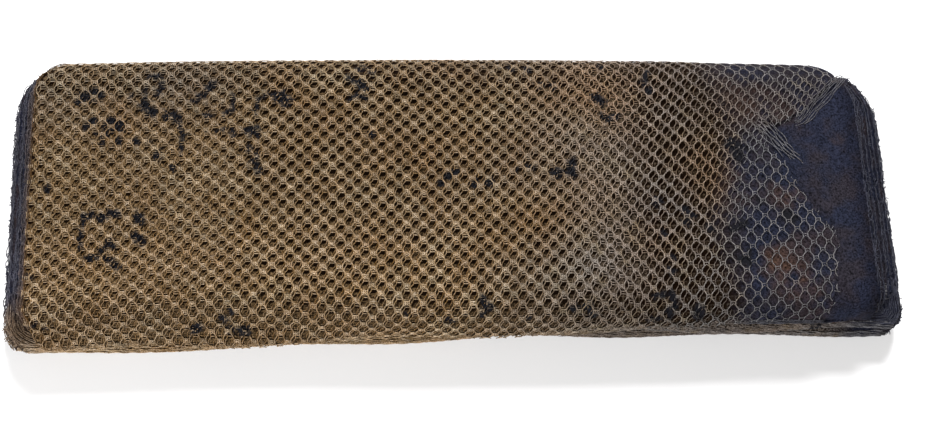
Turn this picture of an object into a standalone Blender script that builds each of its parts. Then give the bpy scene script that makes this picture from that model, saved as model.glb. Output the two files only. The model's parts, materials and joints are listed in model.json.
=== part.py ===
"""Camouflage net: one length of knitted mesh, folded flat into a long pack.

The net is one sheet. It is laid back and forth in twelve layers, with its folds
along the front (-Y) and back (+Y) sides. The three upper folds at the front are
rolled down over the edge, and the top layer closes the back like a flap. The ends
of the layers show at the left and right, and the top layer's cut edge lies short
of the right end, with a notch in it.

Units are metres, +Z is up, and the origin is the middle of the bottom.
"""

import math
from collections import namedtuple

import bmesh
import bpy

# ---------------------------------------------------------------- driving sizes

THICK = 0.0020          # one built layer, which stands for several plies of net
GAP = 0.0004            # air between two layers
PITCH = THICK + GAP     # from one layer's middle to the next
HALF = THICK / 2
TURN = PITCH / 2        # radius of a fold, at the middle of the cloth

FRONT = -0.0520         # the pack's front, back and ends
BACK = 0.0520
LEFT = -0.1650
RIGHT = 0.1660

# Plan radius of the pack's rounded corners.
Corners = namedtuple("Corners", "front back")
LEFT_CORNERS = Corners(front=0.0110, back=0.0150)
RIGHT_CORNERS = Corners(front=0.0075, back=0.0210)

ROLL_BASE = 6 * PITCH - GAP / 2     # height on which the rolled folds sit
ROLL_Y = -0.0375                    # where they start to bend down
ROLL_STEP = math.radians(15)        # one facet of a bend

FLAP_RADIUS = 0.0090    # bend of the top layer over the back edge
FLAP_Y = BACK - HALF - FLAP_RADIUS
FLAP_HEM = 0.0050       # height of the flap's free edge above the ground

# ------------------------------------------------------------------- the layers

# One row for each layer, bottom first: where its two ends lie.
Layer = namedtuple("Layer", "left right")
LAYERS = (
    Layer(left=-0.1640, right=0.1630),
    Layer(left=-0.1632, right=0.1652),
    Layer(left=-0.1650, right=0.1655),
    Layer(left=-0.1636, right=0.1660),
    Layer(left=-0.1618, right=0.1646),
    Layer(left=-0.1622, right=0.1628),
    Layer(left=-0.1600, right=0.1600),
    Layer(left=-0.1588, right=0.1575),
    Layer(left=-0.1570, right=0.1545),
    Layer(left=-0.1562, right=0.1520),
    Layer(left=-0.1548, right=0.1500),
    Layer(left=-0.1538, right=0.1480),
)

# One row for each fold at the front, bottom first. A flat fold reaches to tip.
# A rolled one bends down over the edge by so many facets.
FrontFold = namedtuple("FrontFold", "tip facets ripple phase")
FRONT_FOLDS = (
    FrontFold(tip=FRONT, facets=0, ripple=0.0007, phase=0.3),
    FrontFold(tip=FRONT + 0.0016, facets=0, ripple=0.0009, phase=2.1),
    FrontFold(tip=FRONT + 0.0006, facets=0, ripple=0.0008, phase=4.0),
    FrontFold(tip=None, facets=2, ripple=0.0, phase=0.0),
    FrontFold(tip=None, facets=4, ripple=0.0, phase=0.0),
    FrontFold(tip=None, facets=5, ripple=0.0, phase=0.0),
)

# One row for each fold at the back, bottom first. The last layer has no fold
# there: it is the flap.
BackFold = namedtuple("BackFold", "tip ripple phase")
BACK_FOLDS = (
    BackFold(tip=BACK - 0.0036, ripple=0.0005, phase=1.2),
    BackFold(tip=BACK - 0.0043, ripple=0.0006, phase=3.1),
    BackFold(tip=BACK - 0.0034, ripple=0.0005, phase=5.0),
    BackFold(tip=BACK - 0.0042, ripple=0.0006, phase=0.4),
    BackFold(tip=BACK - 0.0092, ripple=0.0003, phase=2.6),
)
BOTTOM_EDGE = BACK - 0.0048     # the sheet's other free edge, under the pack

# The top layer's cut edge at the right, from front to back.
CutPoint = namedtuple("CutPoint", "y x")
CUT_EDGE = (
    CutPoint(y=-0.0500, x=0.1310),
    CutPoint(y=-0.0400, x=0.1326),
    CutPoint(y=-0.0260, x=0.1344),
    CutPoint(y=-0.0210, x=0.1370),
    CutPoint(y=-0.0150, x=0.1320),
    CutPoint(y=-0.0070, x=0.1278),
    CutPoint(y=-0.0010, x=0.1230),
    CutPoint(y=0.0080, x=0.1200),
    CutPoint(y=0.0150, x=0.1130),
    CutPoint(y=0.0220, x=0.1128),
    CutPoint(y=0.0270, x=0.1230),
    CutPoint(y=0.0320, x=0.1310),
    CutPoint(y=0.0420, x=0.1420),
    CutPoint(y=0.0500, x=0.1470),
)

# ------------------------------------------------------- how the pack lies uneven

BOW = 0.0022            # how far the middle of the pack lies further back
SET_BACK = 0.0035       # how far the roll stands back from the front, at the left
RIPPLE_LENGTH = 0.085   # from one ripple in a fold to the next
END_FALL = 0.05         # the part of its height that the top loses at the ends
BACK_FALL = 0.07        # and along the back

# Soft troughs (and low ridges, with a depth below 0) in the upper layers.
Dent = namedtuple("Dent", "x y long wide turn depth")
DENTS = (
    Dent(x=-0.098, y=0.004, long=0.050, wide=0.012, turn=-48, depth=0.0009),
    Dent(x=-0.030, y=0.012, long=0.050, wide=0.016, turn=20, depth=0.0007),
    Dent(x=0.012, y=-0.022, long=0.040, wide=0.014, turn=70, depth=0.0009),
    Dent(x=0.066, y=0.000, long=0.045, wide=0.014, turn=-65, depth=0.0008),
    Dent(x=-0.060, y=-0.034, long=0.040, wide=0.012, turn=8, depth=-0.0005),
    Dent(x=0.092, y=0.018, long=0.030, wide=0.014, turn=30, depth=-0.0005),
    Dent(x=0.128, y=0.018, long=0.026, wide=0.010, turn=-30, depth=0.0009),
)

TOP = len(LAYERS) * PITCH - GAP     # height of the pack before it settles

# --------------------------------------------------------------------- stations

LEFT_SEAM = -0.130      # between the seams every layer has the same stations
RIGHT_SEAM = 0.100
LEFT_COLUMNS = 3
MIDDLE_COLUMNS = 10
RIGHT_COLUMNS = 4

# Where a flat layer has its points, as parts of its width from front to back.
FLAT_STEPS = (0.0, 0.05, 0.15, 0.36, 0.60, 0.82, 0.94, 1.0)
TOP_STEPS = (0.0, 0.08, 0.16, 0.22, 0.30, 0.38, 0.46, 0.54,
             0.62, 0.69, 0.76, 0.83, 0.92, 1.0)
TURN_FACETS = 4
FLAP_FACETS = 5

PathPoint = namedtuple("PathPoint", "y z out layer")


def layer_height(layer):
    """Height of the middle of a layer; 0 is the bottom one."""
    return HALF + layer * PITCH


def ripple(x, row):
    """How far a fold's tip wanders in and out along the pack."""
    wave = 2 * math.pi * x / RIPPLE_LENGTH
    return row.ripple * (math.sin(wave + row.phase) + 0.6 * math.sin(0.43 * wave + 2 * row.phase))


def between(table, value, key, answer):
    """Read a table of rows in a straight line between its points."""
    if value <= getattr(table[0], key):
        return getattr(table[0], answer)
    for low, high in zip(table, table[1:]):
        if value <= getattr(high, key):
            part = (value - getattr(low, key)) / (getattr(high, key) - getattr(low, key))
            return getattr(low, answer) * (1 - part) + getattr(high, answer) * part
    return getattr(table[-1], answer)


# ---------------------------------------------------------------- the section


def flat_points(layer, front, back, steps, forwards):
    """A flat layer's points; forwards runs from the back to the front."""
    parts = reversed(steps) if forwards else steps
    up = 1 if forwards else -1
    return [PathPoint(front + (back - front) * part, layer_height(layer), (0, up), layer)
            for part in parts]


def turn_points(layer, centre, side):
    """A fold from a layer to the one below it, around a centre at y.
    side is -1 at the front and +1 at the back."""
    middle = layer_height(layer) - TURN
    points = []
    for step in range(1, TURN_FACETS):
        angle = math.pi * step / TURN_FACETS
        across, up = side * math.sin(angle), math.cos(angle)
        outward = (across, up) if side < 0 else (-across, -up)
        points.append(PathPoint(centre + TURN * across, middle + TURN * up,
                                outward, layer - step / TURN_FACETS))
    return points


def roll_points(layer, facets):
    """A fold that bends down over the front edge with both its layers."""
    upper = layer_height(layer) - ROLL_BASE
    lower = upper - PITCH
    middle = (upper + lower) / 2
    tip = facets * ROLL_STEP
    rows = [(upper, step * ROLL_STEP, (0, 1), layer) for step in range(1, facets + 1)]
    for step in range(1, TURN_FACETS):
        angle = math.pi * step / TURN_FACETS
        rows.append((middle + TURN * math.cos(angle), tip + TURN * math.sin(angle) / middle,
                     (-math.sin(angle), math.cos(angle)), layer - step / TURN_FACETS))
    rows += [(lower, step * ROLL_STEP, (0, -1), layer - 1) for step in range(facets, 0, -1)]

    points = []
    for radius, angle, (across, up), at_layer in rows:
        sine, cosine = math.sin(angle), math.cos(angle)
        out = (across * cosine - up * sine, across * sine + up * cosine)
        points.append(PathPoint(ROLL_Y - radius * sine, ROLL_BASE + radius * cosine,
                                out, at_layer))
    return points


def flap_points(layer, hem):
    """The top layer's flap, from its free edge up to the top."""
    centre = layer_height(layer) - FLAP_RADIUS
    side = FLAP_Y + FLAP_RADIUS
    points = [PathPoint(side, hem + (centre - hem) * part, (1, 0), layer)
              for part in (0.0, 0.5)]
    for step in range(FLAP_FACETS):
        angle = math.pi / 2 * step / FLAP_FACETS
        points.append(PathPoint(FLAP_Y + FLAP_RADIUS * math.cos(angle),
                                centre + FLAP_RADIUS * math.sin(angle),
                                (math.cos(angle), math.sin(angle)), layer))
    return points


def section(x):
    """The middle line of the folded sheet, from the flap down to the bottom."""
    last = len(LAYERS) - 1
    hem = FLAP_HEM + 0.0012 * math.sin(2 * math.pi * x / RIPPLE_LENGTH)
    points = flap_points(last, hem)
    for fold in reversed(range(len(FRONT_FOLDS))):
        upper, lower = 2 * fold + 1, 2 * fold
        row = FRONT_FOLDS[fold]
        front = ROLL_Y if row.facets else row.tip + HALF + TURN + ripple(x, row)

        above = BACK_FOLDS[fold].tip - HALF - TURN + ripple(x, BACK_FOLDS[fold]) \
            if upper != last else FLAP_Y
        steps = TOP_STEPS if upper == last else FLAT_STEPS
        points += flat_points(upper, front, above, steps, forwards=True)

        points += roll_points(upper, row.facets) if row.facets else turn_points(upper, front, -1)

        below = BACK_FOLDS[fold - 1].tip - HALF - TURN + ripple(x, BACK_FOLDS[fold - 1]) \
            if lower else BOTTOM_EDGE
        points += flat_points(lower, front, below, FLAT_STEPS, forwards=False)
        if lower:
            points += turn_points(lower, below, 1)
    return points


# ---------------------------------------------------------------- ends along X


def corner_inset(y, corners):
    """How much shorter the pack is at y, because its corners are rounded."""
    for radius, depth in ((corners.back, y - (BACK - corners.back)),
                          (corners.front, (FRONT + corners.front) - y)):
        if depth > 0:
            part = min(depth / radius, 0.98)
            return radius * (1 - math.sqrt(1 - part * part))
    return 0.0


def layer_value(layer, column):
    """A layer table's value, between two layers along a fold."""
    low = int(math.floor(layer))
    part = layer - low
    value = getattr(LAYERS[low], column)
    if part:
        value += part * (getattr(LAYERS[low + 1], column) - value)
    return value


def ends(point):
    """The left and right ends of the sheet at a point of its section."""
    left = layer_value(point.layer, "left") + corner_inset(point.y, LEFT_CORNERS)
    right = layer_value(point.layer, "right") - corner_inset(point.y, RIGHT_CORNERS)
    top_share = max(0.0, point.layer - (len(LAYERS) - 2))
    if top_share and point.z > TOP / 2:
        cut = between(CUT_EDGE, point.y, "y", "x")
        right += top_share * (min(cut, right) - right)
    return left, right


def station(point, column):
    """X of a column of points; the outer ones share the way to the sheet's end."""
    left, right = ends(point)
    if column <= LEFT_COLUMNS:
        return left + (LEFT_SEAM - left) * column / LEFT_COLUMNS
    column -= LEFT_COLUMNS
    if column <= MIDDLE_COLUMNS:
        return LEFT_SEAM + (RIGHT_SEAM - LEFT_SEAM) * column / MIDDLE_COLUMNS
    column -= MIDDLE_COLUMNS
    return RIGHT_SEAM + (right - RIGHT_SEAM) * column / RIGHT_COLUMNS


# --------------------------------------------------------------------- settling


def dent_depth(x, y):
    """Depth of all the troughs at a place on the top."""
    depth = 0.0
    for dent in DENTS:
        turn = math.radians(dent.turn)
        along = (x - dent.x) * math.cos(turn) + (y - dent.y) * math.sin(turn)
        aside = (y - dent.y) * math.cos(turn) - (x - dent.x) * math.sin(turn)
        depth += dent.depth * math.exp(-(along / dent.long) ** 2 - (aside / dent.wide) ** 2)
    return depth


def settle(x, y, z):
    """Move a point of the even pack to where the uneven one has it."""
    up = z / TOP
    end = min(1.0, abs(x) / RIGHT)
    behind = max(0.0, y / BACK)
    fall = END_FALL * end ** 6 + BACK_FALL * behind ** 3
    new_z = z * (1 - fall) - dent_depth(x, y) * up * up

    at_left = min(1.0, max(0.0, (0.02 - x) / 0.12))
    at_front = min(1.0, max(0.0, (-0.010 - y) / 0.040))
    at_top = min(1.0, max(0.0, (z - 0.35 * TOP) / (0.35 * TOP)))
    smooth = [part * part * (3 - 2 * part) for part in (at_left, at_front, at_top)]
    new_y = y + BOW * (0.5 - (x / RIGHT) ** 2) + SET_BACK * smooth[0] * smooth[1] * smooth[2]
    return x, new_y, new_z


# ------------------------------------------------------------------- the solid


def centre_on_origin(mesh):
    """Bring the middle of the pack's bottom to the origin."""
    spans = [[vert.co[axis] for vert in mesh.verts] for axis in range(3)]
    middle_x, middle_y = [(min(span) + max(span)) / 2 for span in spans[:2]]
    bmesh.ops.translate(mesh, verts=mesh.verts, vec=(-middle_x, -middle_y, -min(spans[2])))


def make_net():
    """One closed sheet: its two faces, its two free edges and its two ends."""
    mesh = bmesh.new()
    columns = LEFT_COLUMNS + MIDDLE_COLUMNS + RIGHT_COLUMNS + 1
    outer, inner = [], []
    for column in range(columns):
        even_x = station(section(0.0)[0], column)
        sides = ([], [])
        for point in section(even_x):
            x = station(point, column)
            for side, sign in zip(sides, (1, -1)):
                y = point.y + sign * HALF * point.out[0]
                z = point.z + sign * HALF * point.out[1]
                side.append(mesh.verts.new(settle(x, y, z)))
        outer.append(sides[0])
        inner.append(sides[1])

    last = len(outer[0]) - 1
    for column in range(columns - 1):
        here, there = (outer[column], inner[column]), (outer[column + 1], inner[column + 1])
        for row in range(last):
            mesh.faces.new((here[0][row], here[0][row + 1], there[0][row + 1], there[0][row]))
            mesh.faces.new((here[1][row], there[1][row], there[1][row + 1], here[1][row + 1]))
        mesh.faces.new((here[0][0], there[0][0], there[1][0], here[1][0]))
        mesh.faces.new((here[0][last], here[1][last], there[1][last], there[0][last]))
    for row in range(last):
        mesh.faces.new((outer[0][row], inner[0][row], inner[0][row + 1], outer[0][row + 1]))
        mesh.faces.new((outer[-1][row], outer[-1][row + 1], inner[-1][row + 1], inner[-1][row]))
    bmesh.ops.recalc_face_normals(mesh, faces=mesh.faces)
    centre_on_origin(mesh)

    data = bpy.data.meshes.new("camouflage_net")
    mesh.to_mesh(data)
    mesh.free()
    data.shade_smooth()
    data.set_sharp_from_angle(angle=math.radians(40))
    net = bpy.data.objects.new("camouflage_net", data)
    bpy.context.scene.collection.objects.link(net)
    return net


def mesh_cloth():
    """Matt sand-brown polyester mesh."""
    material = bpy.data.materials.new("net_mesh")
    material.use_nodes = True
    shader = material.node_tree.nodes["Principled BSDF"]
    shader.inputs["Base Color"].default_value = (0.17, 0.13, 0.085, 1.0)
    shader.inputs["Roughness"].default_value = 0.75
    shader.inputs["Metallic"].default_value = 0.0
    return material


for old in list(bpy.data.objects):
    bpy.data.objects.remove(old, do_unlink=True)

net_object = make_net()
net_object.data.materials.append(mesh_cloth())
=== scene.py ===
# %% [markdown]
# # A camouflage net, folded flat
# The real thing is one length of warp-knitted polyester mesh, printed in desert
# colours and folded down to a long flat pack. The pack's folded solid is ready made.
# This lesson dresses it: real strands where the mesh is seen, pressed cloth where
# the many inner plies lie, and a floor, light and a camera to look at it.

import json
import math
from collections import namedtuple

import bpy
import numpy as np
from mathutils import Matrix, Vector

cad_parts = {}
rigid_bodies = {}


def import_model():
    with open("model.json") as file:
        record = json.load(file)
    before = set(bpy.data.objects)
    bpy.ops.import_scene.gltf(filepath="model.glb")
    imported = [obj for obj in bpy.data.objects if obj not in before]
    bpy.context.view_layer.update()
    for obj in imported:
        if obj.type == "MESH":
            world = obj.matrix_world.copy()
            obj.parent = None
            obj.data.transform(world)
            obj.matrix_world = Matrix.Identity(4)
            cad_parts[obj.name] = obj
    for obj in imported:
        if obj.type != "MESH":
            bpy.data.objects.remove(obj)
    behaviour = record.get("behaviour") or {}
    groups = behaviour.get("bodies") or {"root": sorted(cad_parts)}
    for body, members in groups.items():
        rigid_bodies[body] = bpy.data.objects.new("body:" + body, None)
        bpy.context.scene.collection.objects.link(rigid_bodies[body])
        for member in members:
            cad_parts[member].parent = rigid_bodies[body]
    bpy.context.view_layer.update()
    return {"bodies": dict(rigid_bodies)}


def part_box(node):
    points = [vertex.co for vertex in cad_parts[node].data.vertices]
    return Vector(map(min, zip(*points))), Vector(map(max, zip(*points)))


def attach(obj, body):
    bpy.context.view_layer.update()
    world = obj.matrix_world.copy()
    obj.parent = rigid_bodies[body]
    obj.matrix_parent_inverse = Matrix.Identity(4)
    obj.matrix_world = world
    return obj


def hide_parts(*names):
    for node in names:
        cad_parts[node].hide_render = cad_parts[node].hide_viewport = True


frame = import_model()
NODE = "camouflage_net"
BODY = next(iter(frame["bodies"]))

# %% [markdown]
# ## Placing things
# The camera, the lamps and every piece of cloth are put into the scene alike. A
# camera or lamp is also aimed, by turning its back away from what it points at.

# %% Helpers for placing things


def add_thing(name, data):
    """A new object of the scene."""
    made = bpy.data.objects.new(name, data)
    bpy.context.scene.collection.objects.link(made)
    return made


def aim(thing, place, right, back):
    """Put a camera or lamp at a place, with its right side and its back turned as given."""
    thing.location = place
    turned = np.stack((right, np.cross(back, right), back), 1)
    thing.rotation_euler = Matrix(turned.tolist()).to_euler()

# %% [markdown]
# ## The camera
# The pack is seen from above and a little from the front left, from close by, so
# its left end looks slightly bigger than its right. The camera's place is worked
# out from a target, two angles and a distance, and then it is rolled about its own
# view until the pack lies level.

# %% Camera
TARGET = (-0.0020, -0.0099, 0.0300)
AZIMUTH, ELEVATION, ROLL = (math.radians(angle) for angle in (-24.5, 74.2, 22.9))
DISTANCE = 0.408
FIELD = 0.3327          # how wide the view is at the target
SENSOR_MM = 36.0


def make_camera():
    """A camera that looks at the target, rolled about its own view."""
    flat = math.cos(ELEVATION)
    back = np.array((math.sin(AZIMUTH) * flat, -math.cos(AZIMUTH) * flat, math.sin(ELEVATION)))
    right = np.cross((0, 0, 1), back) / flat
    right = math.cos(ROLL) * right + math.sin(ROLL) * np.cross(back, right)
    data = bpy.data.cameras.new("camera")
    data.sensor_width = SENSOR_MM
    data.lens = SENSOR_MM * DISTANCE / FIELD
    data.clip_start, data.clip_end = 0.01, 20
    made = add_thing("camera", data)
    aim(made, np.array(TARGET) + DISTANCE * back, right, back)
    return made


bpy.context.scene.camera = make_camera()
print("lens", round(bpy.context.scene.camera.data.lens, 1), "mm")

# %% [markdown]
# ## Floor and light
# A plain white table glows faintly, so that it stays white. The key lamp stands high
# behind the pack, and its light grazes the strands and draws their edges. A bigger,
# weaker lamp stands in front on the left, and a pale warm sky fills the shadows.

# %% Floor and light
FLOOR_HALF = 3.0


def make_floor():
    """A large flat pale table under the pack, which glows faintly."""
    mesh = bpy.data.meshes.new("floor")
    corners = ((-1, -1), (1, -1), (1, 1), (-1, 1))
    mesh.from_pydata([(x * FLOOR_HALF, y * FLOOR_HALF, 0) for x, y in corners], [], [(0, 1, 2, 3)])
    floor = add_thing("floor", mesh)
    material = bpy.data.materials.new("floor")
    material.use_nodes = True
    shader = material.node_tree.nodes["Principled BSDF"]
    shader.inputs["Base Color"].default_value = (0.65, 0.65, 0.66, 1)
    shader.inputs["Roughness"].default_value = 0.7
    shader.inputs["Emission Color"].default_value = (1, 1, 1, 1)
    shader.inputs["Emission Strength"].default_value = 0.10
    mesh.materials.append(material)


Lamp = namedtuple("Lamp", "name place size power")
LAMPS = (
    Lamp("key", place=(0.12, 1.00, 0.90), size=0.40, power=43),
    Lamp("fill", place=(-0.50, -0.90, 0.60), size=0.80, power=24),
)


def make_lamp(lamp):
    """A square soft lamp that points at the pack."""
    data = bpy.data.lights.new(lamp.name, "AREA")
    data.size = lamp.size
    data.energy = lamp.power
    back = np.array(lamp.place) / np.linalg.norm(lamp.place)
    right = np.cross((0, 0, 1), back)
    aim(add_thing(lamp.name, data), lamp.place, right / np.linalg.norm(right), back)


make_floor()
for lamp in LAMPS:
    make_lamp(lamp)
sky = bpy.data.worlds.new("sky")
sky.use_nodes = True
sky.node_tree.nodes["Background"].inputs["Color"].default_value = (1.0, 0.965, 0.90, 1)
sky.node_tree.nodes["Background"].inputs["Strength"].default_value = 0.32
bpy.context.scene.world = sky
bpy.context.scene.view_settings.view_transform = "Standard"
print(len(LAMPS), "lamps")

# %% [markdown]
# ## How the net is folded
# The cloth goes back and forth in twelve layers. The three upper folds at the
# front are rolled down over the edge, and the top layer hangs down behind as a
# flap. A strand of mesh has to lie exactly on those folds, so the same sizes and
# tables that shaped the solid are repeated here, in metres.

# %% Sizes of the folds
THICK, GAP = 0.0020, 0.0004
PITCH = THICK + GAP
HALF, TURN = THICK / 2, PITCH / 2
FRONT, BACK, RIGHT = -0.0520, 0.0520, 0.1660
ROLL_BASE, ROLL_Y = 6 * PITCH - GAP / 2, -0.0375
ROLL_STEP = math.radians(15)
FLAP_RADIUS, FLAP_HEM = 0.0090, 0.0050
FLAP_Y = BACK - HALF - FLAP_RADIUS
RIPPLE_LENGTH = 0.085

Corners = namedtuple("Corners", "front back")
LEFT_CORNERS = Corners(front=0.0110, back=0.0150)
RIGHT_CORNERS = Corners(front=0.0075, back=0.0210)

Layer = namedtuple("Layer", "left right")
LAYERS = (
    Layer(-0.1640, 0.1630), Layer(-0.1632, 0.1652), Layer(-0.1650, 0.1655),
    Layer(-0.1636, 0.1660), Layer(-0.1618, 0.1646), Layer(-0.1622, 0.1628),
    Layer(-0.1600, 0.1600), Layer(-0.1588, 0.1575), Layer(-0.1570, 0.1545),
    Layer(-0.1562, 0.1520), Layer(-0.1548, 0.1500), Layer(-0.1538, 0.1480),
)
TOP_LAYER = len(LAYERS) - 1
TOP = len(LAYERS) * PITCH - GAP

FrontFold = namedtuple("FrontFold", "tip facets ripple phase")
FRONT_FOLDS = (
    FrontFold(FRONT, 0, 0.0007, 0.3), FrontFold(FRONT + 0.0016, 0, 0.0009, 2.1),
    FrontFold(FRONT + 0.0006, 0, 0.0008, 4.0), FrontFold(None, 2, 0, 0),
    FrontFold(None, 4, 0, 0), FrontFold(None, 5, 0, 0),
)
BackFold = namedtuple("BackFold", "tip ripple phase")
BACK_FOLDS = (
    BackFold(BACK - 0.0036, 0.0005, 1.2), BackFold(BACK - 0.0043, 0.0006, 3.1),
    BackFold(BACK - 0.0034, 0.0005, 5.0), BackFold(BACK - 0.0042, 0.0006, 0.4),
    BackFold(BACK - 0.0092, 0.0003, 2.6),
)
BOTTOM_EDGE = BACK - 0.0048

CutPoint = namedtuple("CutPoint", "y x")
CUT_EDGE = (
    CutPoint(-0.0500, 0.1310), CutPoint(-0.0400, 0.1326), CutPoint(-0.0260, 0.1344),
    CutPoint(-0.0210, 0.1370), CutPoint(-0.0150, 0.1320), CutPoint(-0.0070, 0.1278),
    CutPoint(-0.0010, 0.1230), CutPoint(0.0080, 0.1200), CutPoint(0.0150, 0.1130),
    CutPoint(0.0220, 0.1128), CutPoint(0.0270, 0.1230), CutPoint(0.0320, 0.1310),
    CutPoint(0.0420, 0.1420), CutPoint(0.0500, 0.1470),
)

BOW, SET_BACK, END_FALL, BACK_FALL = 0.0022, 0.0035, 0.05, 0.07
Dent = namedtuple("Dent", "x y long wide turn depth")
DENTS = (
    Dent(-0.098, 0.004, 0.050, 0.012, -48, 0.0009), Dent(-0.030, 0.012, 0.050, 0.016, 20, 0.0007),
    Dent(0.012, -0.022, 0.040, 0.014, 70, 0.0009), Dent(0.066, 0.000, 0.045, 0.014, -65, 0.0008),
    Dent(-0.060, -0.034, 0.040, 0.012, 8, -0.0005), Dent(0.092, 0.018, 0.030, 0.014, 30, -0.0005),
    Dent(0.128, 0.018, 0.026, 0.010, -30, 0.0009),
)
print(len(LAYERS), "layers,", round(1000 * TOP, 1), "mm high")

# %% [markdown]
# ## A section through the folds
# Cut the pack across, and the cloth is one long line that winds from the flap to
# the bottom. Each stretch of it is a small array with a row for each point: where
# the point lies, which way is out of the cloth's outer face, and in which layer it is.

# %% One section through the folds
TOP_POINTS, LAYER_POINTS, BOTTOM_POINTS = 41, 15, 31


def stretch(y, z, out_y, out_z, layer):
    """Rows of one stretch of the cloth's middle line."""
    return np.stack(np.broadcast_arrays(y, z, out_y, out_z, layer), axis=-1).astype(float)


def height_of(layer):
    """Height of a layer's middle."""
    return HALF + layer * PITCH


def flat_stretch(layer, start, stop, points):
    """A flat layer. It has more points near its two folds."""
    part = (1 - np.cos(np.linspace(0, math.pi, points))) / 2
    up = 1 if start > stop else -1
    return stretch(start + (stop - start) * part, height_of(layer), 0, up, layer)


def curl(layer, centre, side, facets=8):
    """A fold to the layer below, at the front (side -1) or the back (side 1)."""
    angle = np.linspace(0, math.pi, facets + 1)[1:-1]
    sine, cosine = np.sin(angle), np.cos(angle)
    return stretch(centre + side * TURN * sine, height_of(layer) - TURN + TURN * cosine,
                   -sine, -side * cosine, layer - angle / math.pi)


def rolled_fold(layer, facets, finer=3):
    """A front fold that bends down over the edge with both its layers."""
    upper = height_of(layer) - ROLL_BASE
    middle = upper - TURN
    bend = np.linspace(0, facets * ROLL_STEP, facets * finer + 1)
    turn = np.linspace(0, math.pi, 9)[1:-1]
    radius = np.concatenate((np.full(len(bend) - 1, upper), middle + TURN * np.cos(turn),
                             np.full(len(bend) - 1, upper - PITCH)))
    angle = np.concatenate((bend[1:], bend[-1] + TURN * np.sin(turn) / middle, bend[:0:-1]))
    across = np.concatenate((0 * bend[1:], -np.sin(turn), 0 * bend[1:]))
    up = np.concatenate((1 + 0 * bend[1:], np.cos(turn), -1 + 0 * bend[1:]))
    at_layer = np.concatenate((layer + 0 * bend[1:], layer - turn / math.pi,
                               layer - 1 + 0 * bend[1:]))
    sine, cosine = np.sin(angle), np.cos(angle)
    return stretch(ROLL_Y - radius * sine, ROLL_BASE + radius * cosine,
                   across * cosine - up * sine, across * sine + up * cosine, at_layer)


def flap(layer, hem):
    """The top layer's flap, from its free edge up to the top."""
    centre = height_of(layer) - FLAP_RADIUS
    hang = stretch(FLAP_Y + FLAP_RADIUS, np.linspace(hem, centre, 7)[:-1], 1, 0, layer)
    angle = np.linspace(0, math.pi / 2, 13)[:-1]
    bend = stretch(FLAP_Y + FLAP_RADIUS * np.cos(angle), centre + FLAP_RADIUS * np.sin(angle),
                   np.cos(angle), np.sin(angle), layer)
    return np.concatenate((hang, bend))

# %% [markdown]
# The stretches are strung together at one place along the pack, from the flap down
# to the bottom. The tips of the flat folds wander in and out along the pack, each in
# its own way, as folds of soft cloth do.

# %% The whole section at one place


def ripple(x, row):
    """How far a fold's tip wanders in and out along the pack."""
    wave = 2 * math.pi * x / RIPPLE_LENGTH
    return row.ripple * (np.sin(wave + row.phase) + 0.6 * np.sin(0.43 * wave + 2 * row.phase))


def tip_centre(x, row):
    """Where a flat fold has its middle; a fold's tip is its outermost place."""
    inward = (HALF + TURN) * (1 if row.tip < 0 else -1)
    return row.tip + inward + ripple(x, row)


def section(x):
    """The named stretches of the cloth at x, from the flap down to the bottom."""
    hem = FLAP_HEM + 0.0012 * math.sin(2 * math.pi * x / RIPPLE_LENGTH)
    parts = {"flap": flap(TOP_LAYER, hem)}
    back = FLAP_Y
    for upper in range(TOP_LAYER, 0, -2):
        row = FRONT_FOLDS[upper // 2]
        front = ROLL_Y if row.facets else tip_centre(x, row)
        parts[f"layer {upper}"] = flat_stretch(
            upper, back, front, TOP_POINTS if upper == TOP_LAYER else LAYER_POINTS)
        parts[f"front {upper}"] = (rolled_fold(upper, row.facets) if row.facets
                                   else curl(upper, front, -1))
        lower = upper - 1
        back = tip_centre(x, BACK_FOLDS[lower // 2 - 1]) if lower else BOTTOM_EDGE
        parts[f"layer {lower}"] = flat_stretch(
            lower, front, back, LAYER_POINTS if lower else BOTTOM_POINTS)
        if lower:
            parts[f"back {lower}"] = curl(lower, back, 1)
    return parts


middle_section = section(0.0)
outline = np.concatenate(list(middle_section.values()))
print(len(middle_section), "stretches,", len(outline), "points in a section")

# %% [markdown]
# ## From flat cloth to the folded pack
# Think of the cloth as flat: x runs along the pack and s across all the folds. A
# third number, lift, says how far out of the cloth's middle a point is. The next
# cells turn such flat places into places on the pack. A grid of sections is made
# once, and any number of points is read from it at a time. Last, the whole pack
# settles: it bows a little, falls at its ends and back, and has soft troughs.

# %% Flat places to folded places
STATION_STEP = 0.004
STATIONS = np.arange(-0.172, 0.1721, STATION_STEP)
grid = np.stack([np.concatenate(list(section(x).values())) for x in STATIONS])
steps = np.linalg.norm(np.diff(outline[:, :2], axis=0), axis=1)
ALONG = np.concatenate(((0,), np.cumsum(steps)))      # s of each point of a section
spans, first = {}, 0
for name, part in middle_section.items():
    spans[name] = (ALONG[first], ALONG[min(first + len(part), len(ALONG) - 1)])
    first += len(part)


print(len(STATIONS), "sections,", round(1000 * STATION_STEP), "mm apart")


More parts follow.
